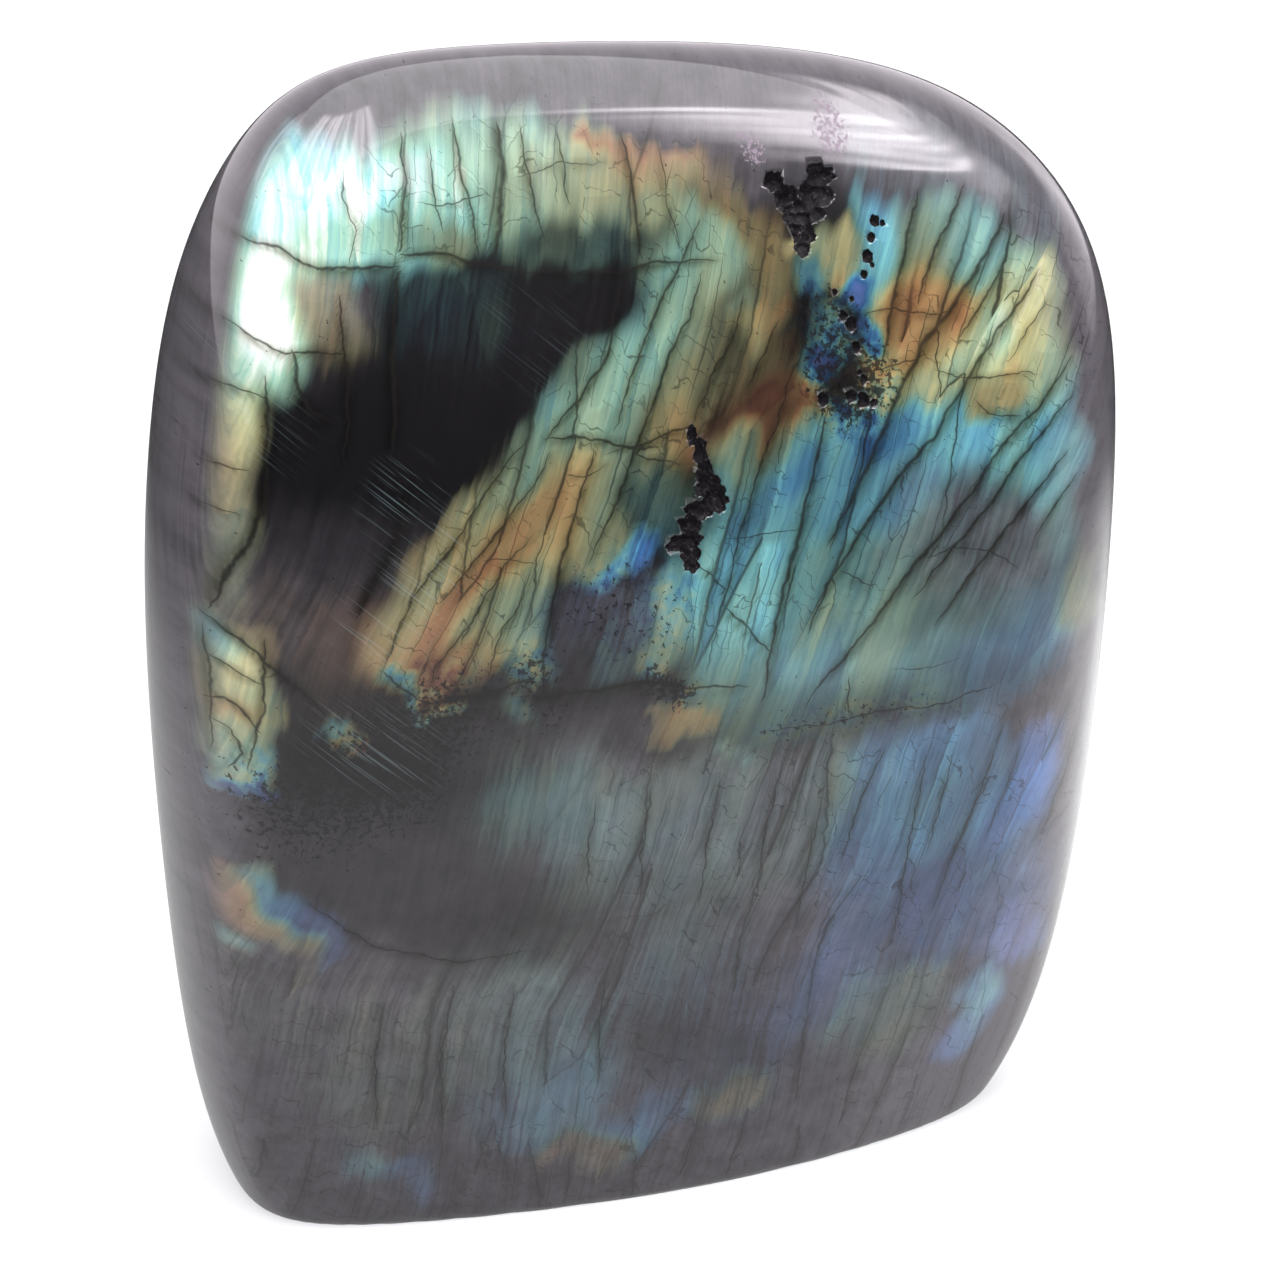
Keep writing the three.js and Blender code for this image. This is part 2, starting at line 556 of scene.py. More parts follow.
@dataclass
class Stone:
    """The whole stone: the polished body with its pits, and its fields for every vertex.

    A place's facing is 1 where it faces the front, 0 on the sides and -1 on the back. A pair
    named for facing says at what facing a change starts and over how much of it it runs.
    """

    body: PolishedBody = field(default_factory=PolishedBody)
    lump_steps: int = 4
    pinhole_steps: int = 3
    crumble: float = 0.8
    crumble_scale: float = 1.6
    crumble_detail: float = 4.0
    seed_step: float = 3.7

    mark_shift: float = 1.07
    foot_height: float = 62.0
    foot_run: float = 50.0
    foot_bulge: float = 3.0
    foot_slide: Span = (0.36, 0.43)
    sway: float = 0.35
    edge_wander: float = 0.7
    tooth_depth: float = 0.7
    tooth_stretch: float = 0.12
    glow_facing: Span = (0.25, 0.35)
    # The rim sheen is painted: the sides of the stone are laid a milky grey that stands for the pale room's
    # reflection.
    rim_facing: Span = (0.80, 0.5)
    rim_milk: float = 0.85
    side_facing: Span = (0.5, 0.35)
    side_grain: float = 18.0
    back_grain: float = 300.0
    back_grit: float = 0.1
    back_cracked: float = 0.4
    fine_cloud: float = 0.5
    fine_fickle: float = 0.4

    # The dusk is painted shade beside the laid cracks, more on one side, so that they look deep.
    dusk_least: float = 0.5
    dusk_reach: float = 2.4
    dusk_near: float = 0.62
    dusk_aside: float = 0.3
    dusk_aside_reach: float = 2.4
    dusk_growth: Span = (0.25, 0.4)

    def lump_group(self) -> Group:
        """Builds the node group that makes one crumbly lump.

        Returns:
            The group, whose inputs are a centre, half sizes, steps, crumble and seed.
        """
        group = Group(
            "Crumbly lump",
            "GeometryNodeTree",
            {
                "Centre": ("NodeSocketVector", (0, 0, 0)),
                "Half sizes": ("NodeSocketVector", (MM, MM, MM)),
                "Steps": ("NodeSocketInt", self.lump_steps),
                "Crumble": (FLOAT, self.crumble),
                "Seed": (FLOAT, 0.0),
            },
            {"Lump": "NodeSocketGeometry"},
        )
        bench = group.bench
        ball = bench.place("GeometryNodeMeshIcoSphere", {0: 1.0, 1: group.given("Steps")})
        point = bench.place("GeometryNodeInputPosition").outputs[0]
        feeds = {"Scale": self.crumble_scale, "Detail": self.crumble_detail}
        coarse = bench.place(
            "ShaderNodeTexNoise", {"Vector": point, "W": group.given("Seed"), **feeds}, noise_dimensions="4D"
        )
        wander = bench.centred(coarse.outputs["Fac"])
        swell = bench.math("MULTIPLY_ADD", wander, group.given("Crumble"), 1.0)
        swell = bench.math("MULTIPLY_ADD", wander, group.given("Crumble"), swell)
        sized = bench.vector("MULTIPLY", bench.scaled(point, swell), group.given("Half sizes"))
        set_place = bench.place("GeometryNodeSetPosition", {"Geometry": ball.outputs["Mesh"]})
        bench.feed(set_place.inputs["Position"], bench.vector("ADD", sized, group.given("Centre")))
        mark = bench.place(
            "GeometryNodeStoreNamedAttribute",
            {"Geometry": set_place.outputs[0], "Name": CRUST_MARK, "Value": True},
            data_type="BOOLEAN",
            domain="FACE",
        )
        group.give("Lump", mark.outputs[0])
        return group

    def inputs(
        self, shift: Array, polish: bpy.types.Material, crust: bpy.types.Material
    ) -> dict[str, tuple[str, object]]:
        """Lists the ground stone's sizes and materials.

        Args:
            shift: How far the body moves to stand centred.
            polish: The material of the polished surface.
            crust: The material inside the pits.

        Returns:
            Each input's socket type and value, by name.
        """
        return {
            "Blend": (FLOAT, self.body.blend),
            "Centre height": (FLOAT, self.body.centre_height * MM),
            "Base edge": (FLOAT, self.body.base_edge * MM),
            "Shift": ("NodeSocketVector", tuple(shift * MM)),
            "Columns": ("NodeSocketInt", self.body.columns),
            "Layers": ("NodeSocketInt", self.body.layers),
            "Rows": ("NodeSocketInt", self.body.rows),
            "Crumble": (FLOAT, self.crumble),
            "Polish": ("NodeSocketMaterial", polish),
            "Crust": ("NodeSocketMaterial", crust),
        }

    def tree(self, inputs: dict[str, tuple[str, object]], shift: Array) -> Group:
        """Builds the tree that grinds the body, cuts its base and opens its pits.

        Args:
            inputs: Each input's socket type and value, by name.
            shift: How far the body moves to stand centred.

        Returns:
            The finished geometry group.
        """
        group = Group("Ground stone", "GeometryNodeTree", inputs, {"Geometry": "NodeSocketGeometry"})
        bench = group.bench
        size = tuple(2 * MM * half for half in self.body.half_sizes)
        block = bench.place(
            "GeometryNodeMeshCube",
            {0: size, 1: group.given("Columns"), 2: group.given("Layers"), 3: group.given("Rows")},
        )
        point = bench.place("GeometryNodeInputPosition").outputs[0]
        reach = self.body.formula(bench, point, group.given("Blend"))
        ground = bench.scaled(point, bench.math("DIVIDE", 1.0, reach))
        x, y, z = bench.split(bench.vector("ADD", ground, group.given("Shift")))
        z = bench.math("ADD", z, group.given("Centre height"))
        edge = group.given("Base edge")
        lifted = bench.math("POWER", bench.math("MAXIMUM", bench.math("ADD", z, edge), 0.0), 2.0)
        rounded = bench.math("DIVIDE", lifted, bench.product(edge, 4.0))
        on_base = bench.math("LESS_THAN", z, edge)
        above = bench.product(bench.math("SUBTRACT", 1.0, on_base), z)
        height = bench.math("MULTIPLY_ADD", on_base, rounded, above)
        move = bench.place("GeometryNodeSetPosition", {"Geometry": block.outputs["Mesh"]})
        bench.feed(move.inputs["Position"], bench.join(x, y, height))
        cut = bench.place("GeometryNodeMeshBoolean", operation="DIFFERENCE", solver="MANIFOLD")
        bench.feed(cut.inputs["Mesh 1"], move.outputs[0])
        lump_group = self.lump_group()
        for number, lump in enumerate(HEART_PIT + BRANCHING_PIT + PINHOLES):
            small = lump in PINHOLES
            centre = (lump.x * MM, self.body.front(lump.x, lump.z, shift) * MM, lump.z * MM)
            feeds = {
                "Centre": centre,
                "Half sizes": (lump.half_width * MM, lump.depth * MM, lump.half_height * MM),
                "Steps": self.pinhole_steps if small else self.lump_steps,
                "Crumble": group.given("Crumble"),
                "Seed": self.seed_step * number,
            }
            node = lump_group.placed(bench, feeds)
            bench.feed(cut.inputs["Mesh 2"], node.outputs["Lump"])
        smooth = bench.place("GeometryNodeSetShadeSmooth", {"Geometry": cut.outputs["Mesh"]})
        real = bench.place("GeometryNodeRealizeInstances", {0: smooth.outputs[0]})
        polish = bench.place("GeometryNodeSetMaterial", {0: real.outputs[0]})
        bench.feed(polish.inputs["Material"], group.given("Polish"))
        marked = bench.place("GeometryNodeInputNamedAttribute", {"Name": CRUST_MARK}, data_type="BOOLEAN")
        crust = bench.place("GeometryNodeSetMaterial", {0: polish.outputs[0]})
        bench.feed(crust.inputs["Selection"], marked.outputs["Attribute"])
        bench.feed(crust.inputs["Material"], group.given("Crust"))
        group.give("Geometry", crust.outputs[0])
        return group

    def build(self, polish: bpy.types.Material, crust: bpy.types.Material) -> bpy.types.Object:
        """Makes the stone as one plain mesh, inside the frame's box.

        Args:
            polish: The material of the polished surface.
            crust: The material inside the pits.

        Returns:
            The stone's object.
        """
        shift = self.body.shift()
        inputs = self.inputs(shift, polish, crust)
        group = self.tree(inputs, shift)
        mesh = bpy.data.meshes.new("stone_start")
        stone = bpy.data.objects.new("stone_polished", mesh)
        bpy.context.scene.collection.objects.link(stone)
        modifier = stone.modifiers.new("Ground stone", "NODES")
        modifier.node_group = group.tree
        for name, (_, value) in inputs.items():
            modifier[group.identifier(name)] = value
        depsgraph = bpy.context.evaluated_depsgraph_get()
        plain = bpy.data.meshes.new_from_object(stone.evaluated_get(depsgraph), depsgraph=depsgraph)
        stone.modifiers.clear()
        stone.data = plain
        plain.name = "stone_polished"
        self.fit(plain)
        self.paint(plain, shift)
        return stone

    def fit(self, mesh: bpy.types.Mesh) -> None:
        """Brings a mesh exactly to the frame's box, which the finer mesh passes by a hair.

        Args:
            mesh: The stone's mesh.
        """
        points = read_points(mesh)
        low, high = (np.array(corner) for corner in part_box("stone"))
        own_low, own_high = points.min(axis=0), points.max(axis=0)
        points = low + (points - own_low) * (high - low) / (own_high - own_low)
        mesh.vertices.foreach_set("co", points.ravel())
        mesh.update()

    def paint(self, mesh: bpy.types.Mesh, shift: Array) -> None:
        """Writes the fields that the materials read.

        Args:
            mesh: The stone's mesh.
            shift: How far the body was moved.
        """
        points = read_points(mesh) / MM
        about_centre = points - shift - (0, 0, self.body.centre_height)
        facing = -self.body.normals(about_centre)[:, 1]
        behind = points[:, 1] > 0
        x, z = self.marks(points)
        across, along = lay_grain(x, z)
        across = across + self.sway * GRAIN_SWAY.at(x, z)
        edges = self.ragged(x, z, across, along)
        hue, glow = lay_flashes(*edges, FRONT_FLASHES)
        back_hue, back_glow = lay_flashes(*edges, BACK_FLASHES)
        glow_start, glow_run = self.glow_facing
        shown = eased((np.abs(facing) - glow_start) / glow_run)
        rim_start, rim_run = self.rim_facing
        rim = eased((rim_start - np.abs(facing)) / rim_run)
        milk = lay_veils(*edges, MILK_AND_SHEEN_VEILS)
        side_start, side_run = self.side_facing
        around = eased((side_start - facing) / side_run) * (points[:, 1] + self.side_grain)
        layers = {
            Layer.HUE: np.where(behind, back_hue, hue),
            Layer.GLOW: np.where(behind, back_glow, glow) * shown,
            # The stone's own milk, with the rims painted milky as a reflection of the pale room.
            Layer.MILK: milk + (self.rim_milk - milk) * rim,
            Layer.GRIT: np.where(behind, self.back_grit, lay_veils(x, z, GRIT_VEILS)),
            Layer.NEEDLES: np.where(behind, 0.0, lay_veils(x, z, NEEDLE_VEILS)),
            Layer.FROST: np.where(behind, 0.0, lay_veils(x, z, FROST_VEILS)),
            Layer.ACROSS: np.where(behind, across + self.back_grain, across) + around,
            Layer.ALONG: along,
            Layer.FACE: facing,
            Layer.CLOUD: CLOUD.at(x, z) + self.fine_cloud * FINE_CLOUD.at(x, z),
            Layer.FICKLE: FICKLE.at(x, z) + self.fine_fickle * FINE_FICKLE.at(x, z),
            Layer.CRACKED: np.where(behind, self.back_cracked, lay_veils(x, z, CRACK_VEILS)),
            **self.crack_fields(x, z, lay_veils(*edges, SHADE_VEILS), behind),
        }
        for layer, values in layers.items():
            write_field(mesh, layer, values)

    def marks(self, points: Array) -> tuple[Array, Array]:
        """Finds where points lie in the plane that the marks are laid out in.

        Args:
            points: The stone's points, one a row.

        Returns:
            The places across and the heights. Both slide a little with the fuller foot.
        """
        bulge = self.foot_bulge * eased((self.foot_height - points[:, 2]) / self.foot_run)
        aside, down = self.foot_slide
        return points[:, 0] - self.mark_shift + aside * bulge, points[:, 2] - down * bulge

    def ragged(
        self, x: Array, z: Array, across: Array, along: Array
    ) -> tuple[Array, Array]:
        """Moves places a little, so that strokes laid on them get wandering, toothed edges.

        Args:
            x: Places across.
            z: Heights.
            across: Distances across the grain.
            along: Distances along the grain.

        Returns:
            The moved places across and heights.
        """
        lean = math.radians(GRAIN_MEAN_LEAN)
        teeth = self.tooth_depth * TEETH.at(across, self.tooth_stretch * along)
        edge_x = x + self.edge_wander * EDGE_ASIDE.at(x, z) + teeth * math.sin(lean)
        edge_z = z + self.edge_wander * EDGE_UPWARD.at(x, z) + teeth * math.cos(lean)
        return edge_x, edge_z

    def crack_fields(
        self, x: Array, z: Array, shade: Array, behind: Array
    ) -> dict[Layer, Array]:
        """Works out the fields of the laid cracks, and the painted shade (dusk) on both sides of them.

        Args:
            x: Places across.
            z: Heights.
            shade: The dark shades already in the stone.
            behind: Whether a place is on the back half.

        Returns:
            The fields by layer.
        """
        layers = {}
        for cracks, (side_layer, away_layer, width_layer) in zip((LONG_CRACKS, CROSS_CRACKS), CRACK_LAYERS):
            side, width = lay_cracks(x, z, cracks)
            # Painted shade beside each crack, wider where the crack is wider, with more of it on one side.
            reach = self.dusk_least + self.dusk_reach * width
            dusk = self.dusk_near * eased(1.0 - np.abs(side) / reach)
            aside = self.dusk_aside * eased(1.0 - side / (self.dusk_aside_reach * reach))
            dusk = dusk + np.where(side > 0, aside, 0.0)
            start, full = self.dusk_growth
            shade = np.maximum(shade, dusk * eased(start + width / full))
            layers[side_layer] = side
            layers[away_layer] = np.abs(side)
            layers[width_layer] = np.where(behind, 0.0, width)
        layers[Layer.SHADE] = np.where(behind, 0.0, shade)
        return layers


def read_points(mesh: bpy.types.Mesh) -> Array:
    """Reads where a mesh's vertices lie.

    Args:
        mesh: The mesh to read.

    Returns:
        The places in metres, one a row.
    """
    points = np.empty(len(mesh.vertices) * 3)
    mesh.vertices.foreach_get("co", points)
    return points.reshape(-1, 3)


def write_field(mesh: bpy.types.Mesh, layer: Layer, values: Array) -> None:
    """Writes one number a vertex under a field's name."""
    made = mesh.attributes.new(layer.value, "FLOAT", "POINT")
    made.data.foreach_set("value", values.astype(np.float32))


@dataclass(frozen=True)
class Ripple:
    """A few crossing waves that add up to a smooth, irregular field.

    Its wave is the length of the shortest, and its seed picks their directions and phases.
    """

    wave: float
    seed: int
    count: int = 7
    spread: float = 2.2

    def at(self, x: Array, z: Array) -> Array:
        """Adds up the waves.

        Args:
            x: Places across.
            z: Heights.

        Returns:
            Values of about -1 to 1.
        """
        rng = np.random.default_rng(self.seed)
        total = np.zeros(np.shape(x))
        for _ in range(self.count):
            turn, phase = rng.uniform(0, 2 * math.pi, 2)
            beat = 2 * math.pi / (self.wave * rng.uniform(1.0, self.spread))
            total += np.sin((x * math.cos(turn) + z * math.sin(turn)) * beat + phase)
        return total / math.sqrt(self.count)


GRAIN_SWAY = Ripple(19.0, 3)
TEETH = Ripple(2.0, 5)
EDGE_ASIDE = Ripple(7.0, 11)
EDGE_UPWARD = Ripple(7.0, 12)
CLOUD = Ripple(16.0, 21)
FINE_CLOUD = Ripple(6.0, 22)
FICKLE = Ripple(13.0, 31)
FINE_FICKLE = Ripple(5.0, 32)


def eased(value: Array) -> Array:
    """Returns values clamped to 0 to 1 and eased at both ends."""
    value = np.clip(value, 0.0, 1.0)
    return value * value * (3.0 - 2.0 * value)


# --- Flashes, veils and grain, laid on in the plane of the front ---


@dataclass(frozen=True)
class Flash:
    """A stroke of colour: points (x, z, radius, hue, glow) and the width of its soft edge.

    The flash is light thrown back by layers inside the stone, painted into the colour. Hue goes
    through the order of the flash: 0 violet, 0.3 blue, 0.5 cyan, 0.6 green, 0.78 yellow, 0.9
    copper, 1 red-brown. Glow is its strength, and past 1 it is painted burnt out to white, as a
    highlight.
    """

    soft: float
    points: tuple[tuple[float, float, float, float, float], ...]


@dataclass(frozen=True)
class Crack:
    """A crack along bends (x, z), widest half-way along."""

    width: float
    points: tuple[tuple[float, float], ...]


# How far a stroke's fading edge spreads, as a share of its own softness.
EDGE_SPREAD = 1.5


def stroke(
    x: Array, z: Array, points: Sequence[Sequence[float]], soft: float
) -> tuple[Array, Array]:
    """Covers places with a stroke of changing width.

    Args:
        x: Places across.
        z: Heights.
        points: The stroke's points (x, z, radius, more values...).
        soft: The width of the fading edge.

    Returns:
        How much of the stroke covers each place, and the points' further values there.
    """
    table = np.array(points if len(points) > 1 else list(points) * 2, dtype=float)
    best = np.full(x.shape, np.inf)
    values = np.zeros(x.shape + (table.shape[1] - 3,))
    for start, end in zip(table[:-1], table[1:]):
        way = end[:2] - start[:2]
        length = max(float(way @ way), 1e-9)
        share = np.clip(((x - start[0]) * way[0] + (z - start[1]) * way[1]) / length, 0, 1)
        radius = start[2] + (end[2] - start[2]) * share
        away = np.hypot(x - start[0] - share * way[0], z - start[1] - share * way[1]) - radius
        nearer = away < best
        best = np.where(nearer, away, best)
        here = start[3:] + (end[3:] - start[3:]) * share[..., None]
        values = np.where(nearer[..., None], here, values)
    return eased(0.5 + (0.5 - best / soft) / EDGE_SPREAD), values


def lay_flashes(
    x: Array, z: Array, flashes: Sequence[Flash]
) -> tuple[Array, Array]:
    """Lays flashes over each other in order.

    Args:
        x: Places across.
        z: Heights.
        flashes: The strokes, from the lowest to the uppermost.

    Returns:
        The hue and the glow at each place.
    """
    hue = np.full(x.shape, 0.5)
    glow = np.zeros(x.shape)
    for flash in flashes:
        cover, values = stroke(x, z, flash.points, flash.soft)
        new_hue, new_glow = values[..., 0], values[..., 1]
        weight = cover * new_glow / np.maximum(cover * new_glow + (1 - cover) * glow, 1e-6)
        hue += (new_hue - hue) * weight
        glow += (new_glow - glow) * cover
    return hue, glow


def lay_veils(x: Array, z: Array, veils: Veils) -> Array:
    """Lays veils of one strength over each other.

    Args:
        x: Places across.
        z: Heights.
        veils: For each veil, its soft edge and its points (x, z, radius, strength).

    Returns:
        The strength at each place.
    """
    total = np.zeros(x.shape)
    for soft, points in veils:
        cover, values = stroke(x, z, points, soft)
        total += (values[..., 0] - total) * cover
    return total


def lay_grain(x: Array, z: Array) -> tuple[Array, Array]:
    """Works out how far places lie across and along the grain.

    The lean of the grain is given at a few places and eased between them.

    Args:
        x: Places across.
        z: Heights.

    Returns:
        The distance across the grain and the distance along it.
    """
    mean = math.radians(GRAIN_MEAN_LEAN)
    weights = np.zeros(x.shape)
    across = np.zeros(x.shape)
    along = np.zeros(x.shape)
    for place_x, place_z, degrees in GRAIN_LEANS:
        lean = math.radians(degrees)
        dx, dz = x - place_x, z - place_z
        weight = 1.0 / (dx**2 + dz**2 + GRAIN_SPREAD**2) ** 2
        start_across = place_x * math.cos(mean) - place_z * math.sin(mean)
        start_along = place_x * math.sin(mean) + place_z * math.cos(mean)
        across += weight * (start_across + dx * math.cos(lean) - dz * math.sin(lean))
        along += weight * (start_along + dx * math.sin(lean) + dz * math.cos(lean))
        weights += weight
    return across / weights, along / weights


def lay_cracks(
    x: Array, z: Array, cracks: Sequence[Crack]
) -> tuple[Array, Array]:
    """Finds the nearest crack of a set for each place.

    Args:
        x: Places across.
        z: Heights.
        cracks: The cracks.

    Returns:
        The distance to the nearest crack, negative on its one side, and its width there.
    """
    side = np.full(x.shape, np.inf)
    width = np.zeros(x.shape)
    for crack in cracks:
        bends = np.array(crack.points, dtype=float)
        lengths = np.hypot(*np.diff(bends, axis=0).T)
        gone = np.concatenate([[0.0], np.cumsum(lengths)]) / lengths.sum()
        parts = zip(bends[:-1], bends[1:], lengths, gone[:-1], gone[1:])
        for start, end, length, at_start, at_end in parts:
            way = (end - start) / length
            dx, dz = x - start[0], z - start[1]
            share = np.clip((dx * way[0] + dz * way[1]) / length, 0, 1)
            away = np.hypot(dx - share * way[0] * length, dz - share * way[1] * length)
            signed = np.where(dx * way[1] - dz * way[0] < 0, -away, away)
            nearer = away < np.abs(side)
            side = np.where(nearer, signed, side)
            whole = at_start + (at_end - at_start) * share
            taper = np.sqrt(np.clip(4 * whole * (1 - whole), 0, 1))
            width = np.where(nearer, crack.width * taper, width)
    return side, width


# Lean of the grain, to the right of upright: (x, z, degrees).
GRAIN_LEANS: tuple[tuple[float, float, float], ...] = (
    (-46, 126, 2), (-26, 128, 7), (-46, 100, 6), (-30, 112, 8), (-5, 128, 14),
    (-55, 75, 3), (-54, 95, 8), (-34, 82, 33), (-22, 92, 33), (-13, 100, 31),
    (-5, 110, 31), (3, 118, 28), (-4, 78, 12), (4, 84, 13), (12, 90, 17),
    (8, 74, 15), (16, 72, 26), (24, 118, 22), (28, 108, 33), (24, 88, 33),
    (40, 106, 36), (40, 92, 34), (36, 78, 32), (-20, 52, 3), (3, 52, 12),
    (20, 50, 10), (32, 50, 17), (43, 50, 22), (-20, 25, 5), (2, 28, 1),
    (25, 28, 6), (-45, 30, 1), (-38, 52, 5),
)
GRAIN_MEAN_LEAN = 18.0
GRAIN_SPREAD = 16.0

